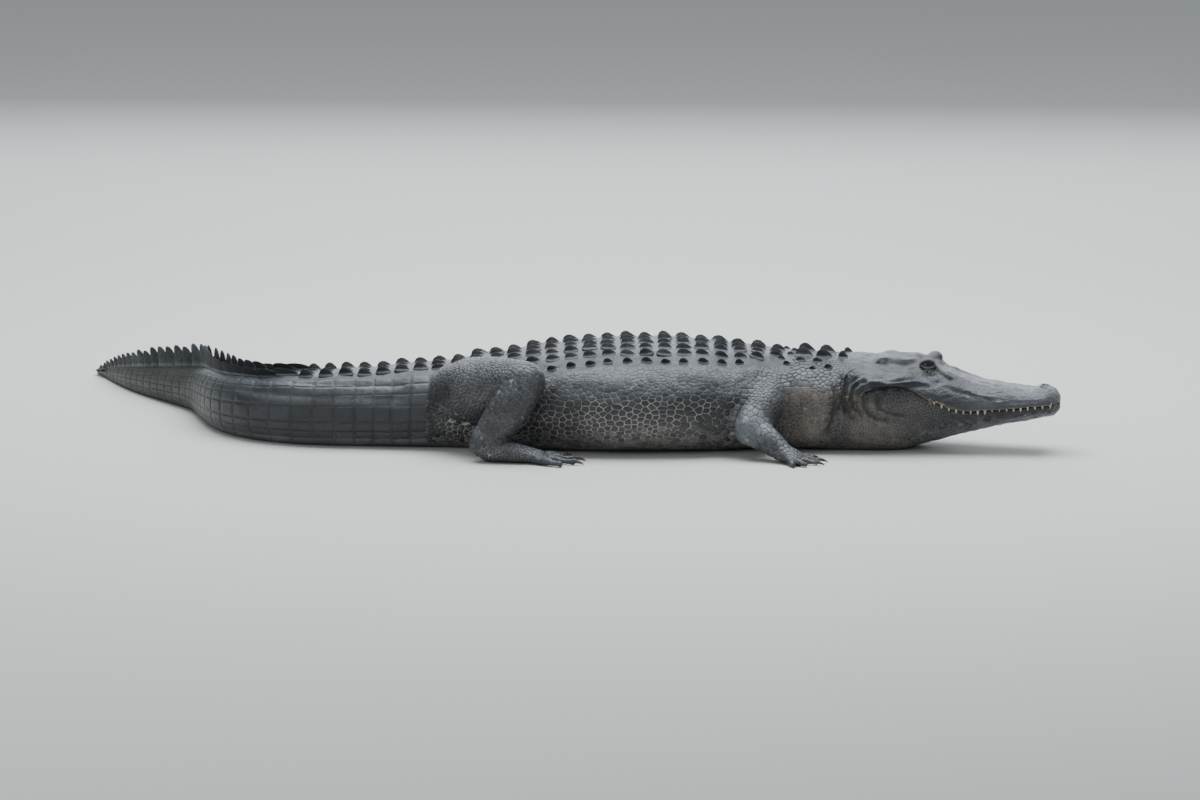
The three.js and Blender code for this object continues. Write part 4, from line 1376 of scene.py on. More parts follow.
@dataclass
class Armour:
    """The keeled scutes of the neck and back, and the crest of the tail."""

    probe: Probe
    tree: Tree
    whorl: float = 52.0
    scute: tuple[float, float, float] = (47, 46, 13.5)
    rows: tuple[tuple[float, float, float, float], ...] = (
        (27, -10, 1000, 1.0), (79, -10, 985, 1.0), (132, 30, 945, 0.96), (178, 330, 860, 0.7))
    spread: Curve = field(default_factory=lambda: Curve(
        (-400, 0.5), (0, 0.74), (170, 0.86), (350, 1), (700, 1), (850, 0.86), (1000, 0.62)))
    pitch: Curve = field(default_factory=lambda: Curve((-1650, 31), (-1300, 40), (-900, 48), (0, 52)))
    crest_left: Curve = field(default_factory=lambda: Curve(
        (-905, 0), (-800, 15), (-600, 32), (-390, 47), (-100, 56), (0, 58)))
    crest_rise: Curve = field(default_factory=lambda: Curve(
        (-1650, 8), (-1500, 26), (-1250, 48), (-950, 62), (-820, 54), (-600, 34), (-400, 22), (-150, 15),
        (0, 13)))
    merge: float = -905.0
    neck: tuple[tuple[float, float, float, float, float], ...] = (
        (1045, 30, 56, 48, 23), (1103, 30, 54, 48, 22), (1093, 76, 36, 28, 13), (1040, 74, 30, 26, 9),
        (1158, 40, 32, 28, 16), (1150, 14, 24, 20, 8), (1130, 106, 28, 22, 10), (1090, 112, 22, 18, 8),
        (985, 70, 26, 22, 9), (1005, 98, 24, 20, 9), (1012, 24, 26, 22, 8))

    def back(self) -> Stand:
        """The rows of scutes along the back."""
        draw = np.random.default_rng(11)
        stand = Stand()
        for k in range(-1, 20):
            for left, start, end, size in self.rows:
                for side in Side:
                    run = (k + 0.55) * self.whorl + draw.normal(0, 1.6)
                    vary = 1 + 0.1 * draw.uniform(-1, 1)
                    tall = 1 + 0.2 * draw.uniform(-1, 1)
                    if not start <= run <= end:
                        continue
                    spread = float(self.spread(run))
                    at = side.value * (left * spread + draw.normal(0, 1.2))
                    length, width, rise = self.scute
                    stand.add(self.probe.back(run, at), length * size * vary, width * spread * size * vary,
                              rise * (0.4 + 0.6 * size) * tall)
        return stand

    def nape(self) -> Stand:
        """The large scutes of the neck and the knobs round them."""
        draw = np.random.default_rng(17)
        stand = Stand()
        for run, left, length, width, rise in self.neck:
            for side in Side:
                vary = 1 + 0.06 * draw.uniform(-1, 1)
                at = self.probe.back(run + draw.normal(0, 2), side.value * left, 0.25)
                stand.add(at, length * vary, width * vary, rise * vary)
        return stand

    def crest(self) -> tuple[Stand, Stand]:
        """The tail's crest: low plates near its root, then blades, single past the merge."""
        draw = np.random.default_rng(23)
        plates, blades = Stand(), Stand()
        run = -0.45 * self.whorl
        while run > -1632:
            pitch = float(self.pitch(run))
            rise = float(self.crest_rise(run)) * (1 + 0.08 * draw.uniform(-1, 1))
            lefts = [float(self.crest_left(run)) * side.value for side in Side]
            for left in lefts if run > self.merge else [0.01]:
                if rise < 20:
                    plates.add(self.probe.back(run, left, 0.5), pitch * 0.92, 34, rise * 1.1)
                else:
                    thick = float(np.clip(rise * 0.3, 7, 15))
                    blades.add(self.probe.back(run, left, 0.5), pitch * 1.3, thick, rise)
            if run > -700:
                for side in Side:
                    inner = float(self.crest_left(run)) * 0.36 * side.value
                    plates.add(self.probe.back(run, inner), pitch * 0.8, 24 * float(self.spread(run)) + 6, 8)
            run -= pitch
        return plates, blades


def mosaic_tree() -> Tree:
    """The tree that turns separate outlines into closed scales with rounded shoulders."""
    tree = Tree("mosaic", {"Shoulder": "Float", "Height": "Float"})
    start = tree.start.outputs
    apart = tree.add("GeometryNodeSplitEdges", {"Mesh": start["Geometry"]})
    base = tree.add("GeometryNodeScaleElements", {
        "Geometry": apart.outputs[0], "Scale": tree.attribute("share")})
    under = tree.add("GeometryNodeFlipFaces", {"Mesh": base.outputs[0]})
    high = maths(tree, "MULTIPLY", tree.attribute("rise"), start["Height"])
    cap = maths(tree, "MULTIPLY", high, 0.3)
    wall = tree.add("GeometryNodeExtrudeMesh", {
        "Mesh": base.outputs[0], "Offset Scale": high, "Individual": False}, mode="FACES")
    bevel = tree.add("GeometryNodeExtrudeMesh", {
        "Mesh": wall.outputs["Mesh"], "Selection": wall.outputs["Top"], "Offset Scale": cap,
        "Individual": False}, mode="FACES")
    crown = tree.add("GeometryNodeScaleElements", {
        "Geometry": bevel.outputs["Mesh"], "Selection": bevel.outputs["Top"], "Scale": start["Shoulder"]})
    both = tree.add("GeometryNodeJoinGeometry")
    for part in (under, crown):
        tree.tree.links.new(part.outputs[0], both.inputs[0])
    closed = tree.add("GeometryNodeMergeByDistance", {"Geometry": both.outputs[0], "Distance": 0.00002})
    tree.finish(closed.outputs[0])
    return tree


@dataclass
class Cells:
    """Outlines of flat scales on the skin, one list of corners for each, with its gap and height."""

    corners: list[Array] = field(default_factory=list)
    gap: list[float] = field(default_factory=list)
    rise: list[float] = field(default_factory=list)

    def add(self, corners: Array, gap: float, rise: float) -> None:
        """Keep one scale."""
        self.corners.append(corners)
        self.gap.append(gap)
        self.rise.append(rise)

    def build(self, name: str, tree: Tree, shoulder: float, finish: bpy.types.Material) -> Piece:
        """Turn the outlines into one piece of solid scales.

        Args:
            name: The piece's name.
            tree: The tree that raises them.
            shoulder: Size of a scale's top, as a share of its foot.
            finish: Their material.

        Returns:
            The piece, as one plain mesh.
        """
        counts = np.array([len(c) for c in self.corners])
        starts = np.concatenate([[0], np.cumsum(counts)])
        faces = [tuple(range(a, b)) for a, b in zip(starts, starts[1:])]
        made = mesh_object(name, np.vstack(self.corners), faces)
        spans = np.array([2 * np.linalg.norm(c - c.mean(0), axis=-1).mean() for c in self.corners])
        share = np.clip(1 - np.array(self.gap) / spans, 0.6, 0.97)
        add_values(made, "share", np.repeat(share, counts))
        add_values(made, "rise", np.repeat(np.array(self.rise) * MM, counts))
        tree.apply(made, {"Shoulder": shoulder, "Height": 1.0, "Finish": finish})
        return made


@dataclass
class Scaling:
    """Cell sizes, gaps and heights of the flat scales over the whole skin."""

    spine: Spine
    trunk: Trunk
    skull: Skull
    legs: Sequence[Leg]

    def domains(self, points: Array) -> Array:
        """Which part each point belongs to: 0 for the body, or 1 and up for the legs."""
        domain = np.zeros(len(points), int)
        plain = self.off_trunk(points)
        off = np.flatnonzero(plain > 10)
        closest = np.where(plain[off] > 26, 1.5, 1.12)
        for k, leg in enumerate(self.legs):
            for tube in (leg.upper, leg.lower, leg.base):
                near = tube.nearness(self.spine, leg.side, points[off])
                mine = near < closest
                closest[mine] = near[mine]
                domain[off[mine]] = k + 1
        toes = (plain > 60) & (points[:, 2] < 60) & (domain == 0)
        run, left, _ = self.spine.read(points)
        domain = np.where(toes & (run < 700) & (run > 120), 1 + (left > 0), domain)
        return np.where(toes & (run >= 700), 3 + (left > 0), domain)

    def off_trunk(self, points: Array) -> Array:
        """How far outside the plain body points lie, along the way out from its middle."""
        run, left, up = self.spine.read(points)
        level = self.trunk.level(run)
        top = self.trunk.back_height(run)
        power = self.trunk.squareness(run)
        high = np.abs((up - level) / (top - level)) ** power
        deep = level * (1 + self.trunk.belly_sink)
        low = np.clip((level - up) / deep, 0, 1) ** (2 / self.trunk.belly_power)
        lift = np.where(up >= level, high, low)
        return np.abs(left) - self.trunk.half_width(run) * np.clip(1 - lift, 0, 1) ** (1 / power)

    def read(self, points: Array, normals: Array) -> tuple[Array, Array, Array, Array, Array]:
        """Read the scales' measures at points of the skin.

        Args:
            points: The points.
            normals: Their normals.

        Returns:
            Domain, cell size, gap, height (0 where no flat scales grow), and how far cells are
            stretched along the body.
        """
        run, left, up = self.spine.read(points)
        domain = self.domains(points)
        size, gap, rise = np.full(len(points), 15.0), np.full(len(points), 1.7), np.full(len(points), 1.0)
        stretch = np.ones(len(points))
        level = up / self.trunk.back_height(run)
        flank = domain == 0
        low = 1 - ease(level, 0.56, 0.72)
        size = np.where(flank, 15 + 4.5 * low * ease(run, 60, 200) * (1 - ease(run, 840, 940)), size)
        rise = np.where(flank, 0.25 + 1.05 * low, rise)
        stretch = np.where(flank & (run < 930), 1.4, stretch)
        neck = flank & (run > 930) & (run < 1180)
        size = np.where(neck, 11.5 + 3 * ease(level, 0.5, 0.8), size)
        rise = np.where(neck, 0.9 - 0.6 * ease(run, 1110, 1180) * ease(level, 0.6, 0.8), rise)
        rosette = neck & (np.abs(run - 1052) < 44) & (np.abs(up - 172) < 17)
        size = np.where(rosette, 23, size)
        head = flank & (run >= 1180)
        back = self.spine.snout_run - run
        jaw = head & (up < self.skull.mouth_level(back))
        size = np.where(jaw, 9.5 + 4 * ease(-back, -330, -250), size)
        nape = 0.3 * (run < 1206 + 12 * np.sin(left / 11))
        rise = np.where(head, np.where(jaw, 0.55, nape), rise)
        gap = np.where(flank & (run > 40) & (run < 940), 1.7 + 1.7 * low, gap)
        limb = {0: (12.0, 19.0, 10.0), 2: (12.5, 18.0, 9.5)}
        for k, leg in enumerate(self.legs):
            mine = domain == k + 1
            upper, lower = (t.nearness(self.spine, leg.side, points[mine]) for t in (leg.upper, leg.lower))
            thigh, shank, foot = limb[0 if leg.name == "hind_leg" else 2]
            there = mix(thigh, shank, ease(upper - lower, -0.35, 0.25))
            toes = up[mine] < 34
            size[mine] = np.where(toes, foot, mix(foot, there, ease(up[mine], 30, 60)))
            rise[mine] = np.where(toes, 0.8, 1.0)
            if leg.name == "front_leg":
                size[mine] = mix(size[mine], 26.0, self.elbow(points[mine]))
        back_zone = flank & (run < 1010) & (np.abs(left) < 196 * self.spread(run)) & (level > 0.72)
        rise = np.where(back_zone, 0, rise)
        rise = np.where((run < -22) & flank, 0, rise)
        rise = np.where((normals[:, 2] < -0.93) | (up < 1.2), 0, rise)
        return domain, size, gap, rise, stretch

    def elbow(self, points: Array) -> Array:
        """How near points lie to an elbow, 0 to 1."""
        near = np.zeros(len(points))
        for leg in self.legs[2:]:
            run, away, up = leg.upper.stations[-1][:3]
            at = self.spine.place(run, leg.side.value * away, up)
            near = np.maximum(near, 1 - ease(np.linalg.norm(points - at, axis=-1), 42, 78))
        return near

    def spread(self, run: Array) -> Array:
        """How widely the back's scutes are set, as a share of the widest."""
        return Curve((-400, 0.5), (0, 0.74), (170, 0.86), (350, 1), (700, 1), (850, 0.86), (1010, 0.6))(run)


@dataclass
class Mosaic:
    """Grows flat scales evenly over the skin: each is the part of the skin that is nearest to its middle."""

    scaling: Scaling
    seed: int = 71
    rounds: int = 6
    fine: float = 3.4
    sunk: float = 0.5
    apart: float = 20000.0

    def refine(self, points: Array, faces: Array, rim: Array) -> tuple[Array, Array, Array]:
        """Split every triangle whose longest side is too long into four, until none is.

        Args:
            points: The corners.
            faces: The triangles.
            rim: Whether each corner lies on the region's rim.

        Returns:
            The finer corners and triangles, and their rim. Neighbours may differ in fineness.
        """
        for _ in range(3):
            edges = points[faces] - points[np.roll(faces, -1, 1)]
            coarse = np.linalg.norm(edges, axis=-1).max(1) > self.fine
            if not coarse.any():
                break
            big = faces[coarse]
            pairs = np.sort(np.stack([big, np.roll(big, -1, 1)], -1).reshape(-1, 2), 1)
            only, where = np.unique(pairs, axis=0, return_inverse=True)
            middles = 0.5 * (points[only[:, 0]] + points[only[:, 1]])
            ab, bc, ca = (len(points) + where.reshape(-1, 3)[:, k] for k in range(3))
            a, b, c = big.T
            quarters = ((a, ab, ca), (ab, b, bc), (ca, bc, c), (ab, bc, ca))
            made = np.concatenate([np.stack(quarter, 1) for quarter in quarters])
            points = np.vstack([points, middles])
            rim = np.concatenate([rim, rim[only[:, 0]] & rim[only[:, 1]]])
            faces = np.vstack([faces[~coarse], made])
        return points, faces, rim

    def middles(self, warped: Array, size: Array, area: Array) -> Array:
        """Spread the scales' middles evenly, by their size.

        Args:
            warped: The skin's points, with stretching and domains worked in.
            size: Cell size at each point.
            area: Skin area that belongs to each point.

        Returns:
            The middles.
        """
        draw = np.random.default_rng(self.seed)
        density = area / (0.87 * size**2)
        count = int(density.sum())
        picked = draw.choice(len(warped), count, replace=False, p=density / density.sum())
        middles = warped[picked]
        some = draw.permutation(len(warped))[: len(warped) // 3]
        pull = (area / size**4)[some]
        for _ in range(self.rounds):
            label = nearest(middles, warped[some])
            total = np.bincount(label, pull, count)
            moved = sum_by(label, pull[:, None] * warped[some], count)
            middles = np.where(total[:, None] > 0, moved / np.maximum(total, 1e-12)[:, None], middles)
        return middles

    def grow(self, skin: Piece) -> dict[str, Cells]:
        """Grow the scales.

        Args:
            skin: The finished skin.

        Returns:
            The scales of each region.
        """
        skin.data.calc_loop_triangles()
        faces = read_all(skin.data.loop_triangles, "vertices", 3)
        points = vertices_of(skin)
        rough = np.cross(points[faces[:, 1]] - points[faces[:, 0]], points[faces[:, 2]] - points[faces[:, 0]])
        middle = points[faces].mean(1)
        _, _, _, rise, _ = self.scaling.read(middle, unit(rough))
        rim = np.zeros(len(points), bool)
        rim[faces[rise <= 0]] = True
        points, faces, rim = self.refine(points, faces[rise > 0], rim)
        used, faces = np.unique(faces, return_inverse=True)
        points, faces, rim = points[used], faces.reshape(-1, 3), rim[used]
        cross = np.cross(points[faces[:, 1]] - points[faces[:, 0]], points[faces[:, 2]] - points[faces[:, 0]])
        whole = 0.5 * np.linalg.norm(cross, axis=-1)
        area = sum(np.bincount(faces[:, k], whole / 3, len(points)) for k in range(3))
        normals = unit(sum(sum_by(faces[:, k], cross, len(points)) for k in range(3)))
        domain, size, gap, rise, stretch = self.scaling.read(points, normals)
        warped = points.copy()
        warped[:, 0] = warped[:, 0] / stretch + domain * self.apart
        middles = self.middles(warped, size, area)
        label = nearest(middles, warped)
        outer = np.zeros(len(middles), bool)
        outer[label[rim]] = True
        outer[label[rise <= 0]] = True
        return self.outlines(points, normals, faces, label, outer, domain, gap, rise, size)

    def outlines(self, points: Array, normals: Array, faces: Array, label: Array, outer: Array,
                 domain: Array, gap: Array, rise: Array, size: Array) -> dict[str, Cells]:
        """Trace each scale's outline through the places where three scales meet."""
        three = label[faces]
        meets = (three[:, 0] != three[:, 1]) & (three[:, 1] != three[:, 2]) & (three[:, 2] != three[:, 0])
        three, spots = three[meets], points[faces[meets]].mean(1)
        count = len(outer)
        share = np.bincount(label, minlength=count)
        centre = sum_by(label, points, count) / np.maximum(share, 1)[:, None]
        out = unit(sum_by(label, normals, count))
        means = [np.bincount(label, v, count) / np.maximum(share, 1) for v in (gap, rise, size)]
        owner, corner = three.ravel(), np.repeat(np.arange(len(three)), 3)
        order = np.argsort(owner, kind="stable")
        owner, corner = owner[order], corner[order]
        bounds = np.searchsorted(owner, np.arange(count + 1))
        part = np.zeros(count, int)
        part[label] = domain
        regions = {name: Cells() for name in ("flank_scales", "neck_scales", "head_scales", "leg_scales")}
        draw = np.random.default_rng(self.seed + 1)
        vary = draw.uniform(0.8, 1.2, count)
        run, _, _ = self.scaling.spine.read(centre)
        for k in range(count):
            mine = corner[bounds[k] : bounds[k + 1]]
            if outer[k] or len(mine) < 3 or means[1][k] <= 0.1:
                continue
            at = spots[mine]
            near = np.linalg.norm(at - np.median(at, 0), axis=-1) < 1.5 * means[2][k]
            if near.sum() < 3:
                continue
            at = at[near]
            side = unit(np.cross(out[k], [0.31, 0.52, 0.79]))
            other = np.cross(out[k], side)
            middle = at.mean(0)
            turn = np.argsort(np.arctan2((at - middle) @ other, (at - middle) @ side))
            at = at[turn]
            at = at[np.linalg.norm(at - np.roll(at, 1, 0), axis=-1) > 0.8]
            if len(at) < 3:
                continue
            if part[k]:
                region = "leg_scales"
            else:
                region = "flank_scales" if run[k] < 950 else "neck_scales" if run[k] < 1180 else "head_scales"
            regions[region].add(at - out[k] * self.sunk, means[0][k], means[1][k] * vary[k] + self.sunk)
        return regions


def nearest(targets: Array, points: Array) -> Array:
    """Number of the target that is nearest to each point."""
    tree = KDTree(len(targets))
    for k, target in enumerate(targets):
        tree.insert(target, k)
    tree.balance()
    return np.array([tree.find(point)[1] for point in points], np.int64)


@dataclass(frozen=True)
class Whorls:
    """The squarish plates of the tail's sides, ring by ring, each laid close on the skin."""

    probe: Probe
    pitch: Curve
    rows: int = 7
    low: float = -50.0
    high: float = 56.0
    gap: float = 1.1
    shares: tuple[float, ...] = (0.0, 0.06, 0.2, 0.35, 0.5, 0.65, 0.8, 0.94, 1.0)
    heights: tuple[float, ...] = (-0.9, 0.8, 1.0, 1.0, 1.0, 1.0, 1.0, 0.8, -0.9)
    root: float = 0.3

    def build(self, finish: bpy.types.Material) -> Piece:
        """Lay the plates on both sides of the tail.

        Args:
            finish: Their material.

        Returns:
            The plates as one piece.
        """
        draw = np.random.default_rng(61)
        edges = [1.0]
        while edges[-1] > -1560:
            edges.append(edges[-1] - float(self.pitch(edges[-1])))
        points = []
        for side in Side:
            for front, rear in zip(edges, edges[1:]):
                rows = self.rows if front > -1150 else self.rows - 2
                angles = np.radians(np.linspace(self.low, self.high, rows + 1))
                for low, high in zip(angles, angles[1:]):
                    shift = draw.uniform(-1.2, 1.2)
                    rise = draw.uniform(0.9, 1.2)
                    points.append(self.plate(rear + shift, front + shift, low, high, side, rise))
        count = len(self.shares)
        top, rim = patch_faces(count, count)
        under = [(a, b, count * count) for a, b in zip(rim, rim[1:] + rim[:1])]
        made = repeated_mesh("tail_plates", points, top + under)
        made.data.materials.append(finish)
        return made

    def plate(self, rear: float, front: float, low: float, high: float, side: Side, rise: float) -> Array:
        """Points of one plate, raised off the skin except at the rim, and its root inside the tail.

        Args:
            rear: Run of its rear edge.
            front: Run of its front edge.
            low: Angle of its lower edge round the tail.
            high: Angle of its upper edge.
            side: The side of the tail.
            rise: Its height.

        Returns:
            The points.
        """
        spine, trunk = self.probe.spine, self.probe.trunk
        share = np.array(self.shares)
        slack = self.gap / float(trunk.half_width(rear) + 20)
        run, angle = np.meshgrid(mix(rear + self.gap, front - self.gap, share),
                                 mix(low + slack, high - slack, share), indexing="ij")
        left, up = trunk.outline(run, angle)
        at = spine.place(run, side.value * left, np.maximum(up, 4.0)).reshape(-1, 3)
        middle = spine.place(run, 0, trunk.level(run)).reshape(-1, 3)
        lift = np.minimum.outer(self.heights, self.heights).ravel() * rise
        made = []
        for point, way, height in zip(at, unit(at - middle), lift):
            hit, normal, _, _ = self.probe.tree.ray_cast(Vector(point + 12 * way), Vector(-way), 40.0)
            if hit is None:
                hit, normal, _, _ = self.probe.tree.find_nearest(Vector(point))
            made.append(np.array(hit) + height * np.array(normal))
        return np.array([*made, mix(at.mean(0), middle.mean(0), self.root)])


@dataclass(frozen=True)
class Teeth:
    """The upper teeth, which stand outside the closed lower jaw."""

    spine: Spine
    skull: Skull
    first: float = 16.0
    last: float = 330.0
    count: int = 17
    sides: int = 8
    shares: tuple[float, ...] = (0.0, 0.3, 0.6, 0.85, 1.0)

    def build(self) -> Piece:
        """Make all the teeth as one piece."""
        draw = np.random.default_rng(5)
        rings = []
        for back in np.linspace(self.first, self.last, self.count):
            size = 1 + 0.22 * draw.uniform(-1, 1) + 0.35 * float(bell(back, 92, 22) + bell(back, 215, 26))
            for side in Side:
                rings.append(self.tooth(float(back), side, size))
        return repeated_mesh("teeth", rings, tube_faces(len(self.shares), self.sides))

    def tooth(self, back: float, side: Side, size: float) -> Array:
        """Rings of one tooth, from its root in the upper jaw down to its blunt tip."""
        skull = self.skull
        half = float(skull.lip_half(back))
        share = np.array(self.shares)
        up = float(skull.mouth_level(back)) + 5 - (5 + 9.5 * size) * share
        left = side.value * (half - 4.5 - 1.5 * share**2)
        radius = 3.3 * size * (1 - share) ** 0.6 + 0.35
        angle = round_turn(self.sides)[None, :]
        run = skull.run(back) + radius[:, None] * np.cos(angle)
        left = left[:, None] + radius[:, None] * np.sin(angle) * 0.8
        return self.spine.place(run, left, up[:, None] + 0 * angle)


@dataclass(frozen=True)
class Eyes:
    """The two eyeballs, with where each point lies before the gaze kept as a UV map."""

    spine: Spine
    skull: Skull
    rings: int = 28
    sides: int = 40

    def build(self) -> Piece:
        """Make both eyeballs as one piece."""
        bend = np.linspace(0, math.pi, self.rings + 1)[1:-1, None]
        angle = round_turn(self.sides)[None, :]
        local = np.stack([np.sin(bend) * np.cos(angle), np.sin(bend) * np.sin(angle),
                          np.cos(bend) + 0 * angle], -1).reshape(-1, 3)
        front, rear = len(local), len(local) + 1
        local = np.vstack([local, [[0, 0, 1], [0, 0, -1]]])
        faces = inside_out(band_faces(self.rings - 1, self.sides))
        for i in range(self.sides):
            j = (i + 1) % self.sides
            faces += [(front, i, j), (rear, front - self.sides + j, front - self.sides + i)]
        balls = []
        for side in Side:
            lids = Lids(self.spine, self.skull, side)
            out, ahead, up = lids.axes()
            balls.append(lids.centre + self.skull.eye_radius * local @ np.array([ahead, up, out]))
        made = repeated_mesh("eyes", balls, faces)
        gaze = np.where(local[:, 2:] > -0.1, 0.5 + 0.5 * local[:, :2], 0.0)
        add_map(made, "gaze", np.tile(gaze, (len(balls), 1)))
        return made


@dataclass(frozen=True)
class Claws:
    """The claws of the three inner toes of each foot."""

    spine: Spine
    rings: int = 9
    sides: int = 10
    slim: float = 0.8

    def build(self, legs: Sequence[Leg]) -> Piece:
        """Make all the claws as one piece.

        Args:
            legs: The legs whose toes carry them.

        Returns:
            The claws' object.
        """
        claws = [self.claw(toe, leg.foot.claw) for leg in legs
                 for toe in leg.foot.toes(self.spine, leg.side, leg.root)[: leg.foot.clawed]]
        return repeated_mesh("claws", claws, tube_faces(self.rings, self.sides))

    def claw(self, toe: Toe, length: float) -> Array:
        """Rings of one claw, from inside the toe down to its tip on the floor."""
        share = np.linspace(0, 1, self.rings)
        girth = toe.girth * 0.5 * (1 - share) ** 0.75 + 0.7
        high = toe.girth * (0.78 - 0.1 * share - 0.62 * share**2) + 1.0
        line = toe.line(toe.length - 7 + (length + 9) * share, high)
        ring = hoops(line, toe.across, UPRIGHT, self.slim * girth, girth, self.sides)
        ring[..., 2] = np.maximum(ring[..., 2], 0)
        return ring


HEAD_FOLDS = (
    Fold(((1378, 236), (1344, 231), (1323, 227), (1288, 221), (1262, 226), (1249, 237), (1262, 250),
          (1292, 256)), 9, 5, 0.4),
    Fold(((1368, 247), (1330, 243), (1290, 241), (1270, 240)), -4.5, 8, 0),
    Fold(((1386, 229), (1350, 222), (1318, 214), (1280, 206), (1246, 206), (1226, 214)), 6.5, 4.5, 0.5),
    Fold(((1211, 150), (1217, 180), (1233, 196), (1265, 200), (1332, 200), (1371, 202), (1425, 196)),
         8, 5, 0.5),
    Fold(((1222, 190), (1250, 212), (1300, 207), (1371, 210), (1430, 207)), -5, 7, 0),
    Fold(((1228, 214), (1205, 188), (1199, 158), (1211, 132), (1240, 102)), 10, 6),
    Fold(((1256, 178), (1238, 160), (1236, 130), (1262, 104), (1310, 92)), 7, 6),
    Fold(((1290, 168), (1272, 150), (1278, 128), (1310, 114), (1360, 106)), 5, 5),
    Fold(((1178, 226), (1176, 201), (1177, 165), (1186, 130), (1213, 92)), 10, 7),
    Fold(((1152, 210), (1156, 165), (1154, 110), (1130, 50)), 6, 6),
    Fold(((1250, 236), (1222, 224), (1196, 206)), 5.5, 5),
    Fold(((1236, 250), (1206, 238), (1184, 222)), 5, 5),
    Fold(((1410, 240), (1441, 217), (1466, 202)), 8, 4.5),
    Fold(((1412, 250), (1431, 236), (1456, 219)), 5, 3.5),
    Fold(((1362, 226), (1380, 221), (1400, 219), (1424, 218)), 4.5, 3.5),
    Fold(((1350, 219), (1396, 209), (1440, 202)), 4, 4),
    Fold(((1466, 216), (1497, 206), (1542, 190), (1600, 180)), -3.5, 8, 0),
    Fold(((1440, 196), (1490, 186), (1540, 172)), 2.8, 5),
    Fold(((1462, 186), (1530, 168), (1590, 158)), 2.2, 4),
)


@dataclass(frozen=True)
class Studio:
    """A plain pale floor, soft light, and the camera at the photograph's viewing angle."""

    distance: float = 25.0
    azimuth: float = 0.0
    elevation: float = 10.0
    frame_width: float = 3.336
    sensor: float = 36.0
    floor_half: float = 40.0
    floor_level: float = -0.001
    look_at: tuple[float, float, float] = (0.094, -0.3453, 0.1158)

    def build(self) -> None:
        """Set the floor, the lights and the camera."""
        mesh = bpy.data.meshes.new("floor")
        corners = [(x * self.floor_half, y * self.floor_half, self.floor_level)
                   for x, y in ((-1, -1), (1, -1), (1, 1), (-1, 1))]
        mesh.from_pydata(corners, [], [(0, 1, 2, 3)])
        floor = bpy.data.objects.new("floor", mesh)
        bpy.context.scene.collection.objects.link(floor)
        material, graph, shader = new_material("floor_paper")
        graph.feed(shader, {"Base Color": (0.62, 0.62, 0.6, 1), "Roughness": 0.9})
        mesh.materials.append(material)

        world = bpy.data.worlds.new("studio")
        world.use_nodes = True
        world.node_tree.nodes["Background"].inputs["Color"].default_value = (0.86, 0.93, 1.0, 1)
        world.node_tree.nodes["Background"].inputs["Strength"].default_value = 0.42
        bpy.context.scene.world = world
        self.light("sky", (0.3, 0.5, 4.6), (6.0, 3.6), 480.0, (0.93, 0.97, 1.0))
        self.light("rear", (0.4, 5.4, 2.4), (7.0, 2.0), 190.0, (0.9, 0.95, 1.0))
        self.light("side", (-3.5, -6.0, 3.2), (4.0, 3.0), 70.0, (1.0, 0.98, 0.95))

        camera = bpy.data.cameras.new("camera")
        camera.sensor_width = self.sensor
        camera.lens = self.sensor * self.distance / self.frame_width
        camera.clip_end = 200.0
        eye = bpy.data.objects.new("camera", camera)
        turn, angle = math.radians(self.azimuth), math.radians(self.elevation)
        flat = math.cos(angle)
        away = Vector((flat * math.sin(turn), -flat * math.cos(turn), math.sin(angle)))
        eye.location = Vector(self.look_at) + away * self.distance
        eye.rotation_euler = (math.radians(90 - self.elevation), 0.0, turn)
        bpy.context.scene.collection.objects.link(eye)
        bpy.context.scene.camera = eye

    def light(self, name: str, at: tuple[float, float, float], size: tuple[float, float], power: float,
              colour: tuple[float, float, float]) -> None:
        """Add one soft light that faces the animal.

        Args:
            name: The light's name.
            at: Where it hangs, in metres.
            size: Its two sides, in metres.
            power: Its strength in watts.
            colour: Its colour.
        """
        data = bpy.data.lights.new(name, "AREA")
        data.shape = "RECTANGLE"
        data.size, data.size_y = size
        data.energy = power
        data.color = colour
        lamp = bpy.data.objects.new(name, data)
        lamp.location = at
        lamp.rotation_euler = (Vector(self.look_at) - Vector(at)).to_track_quat("-Z", "Y").to_euler()
        bpy.context.scene.collection.objects.link(lamp)


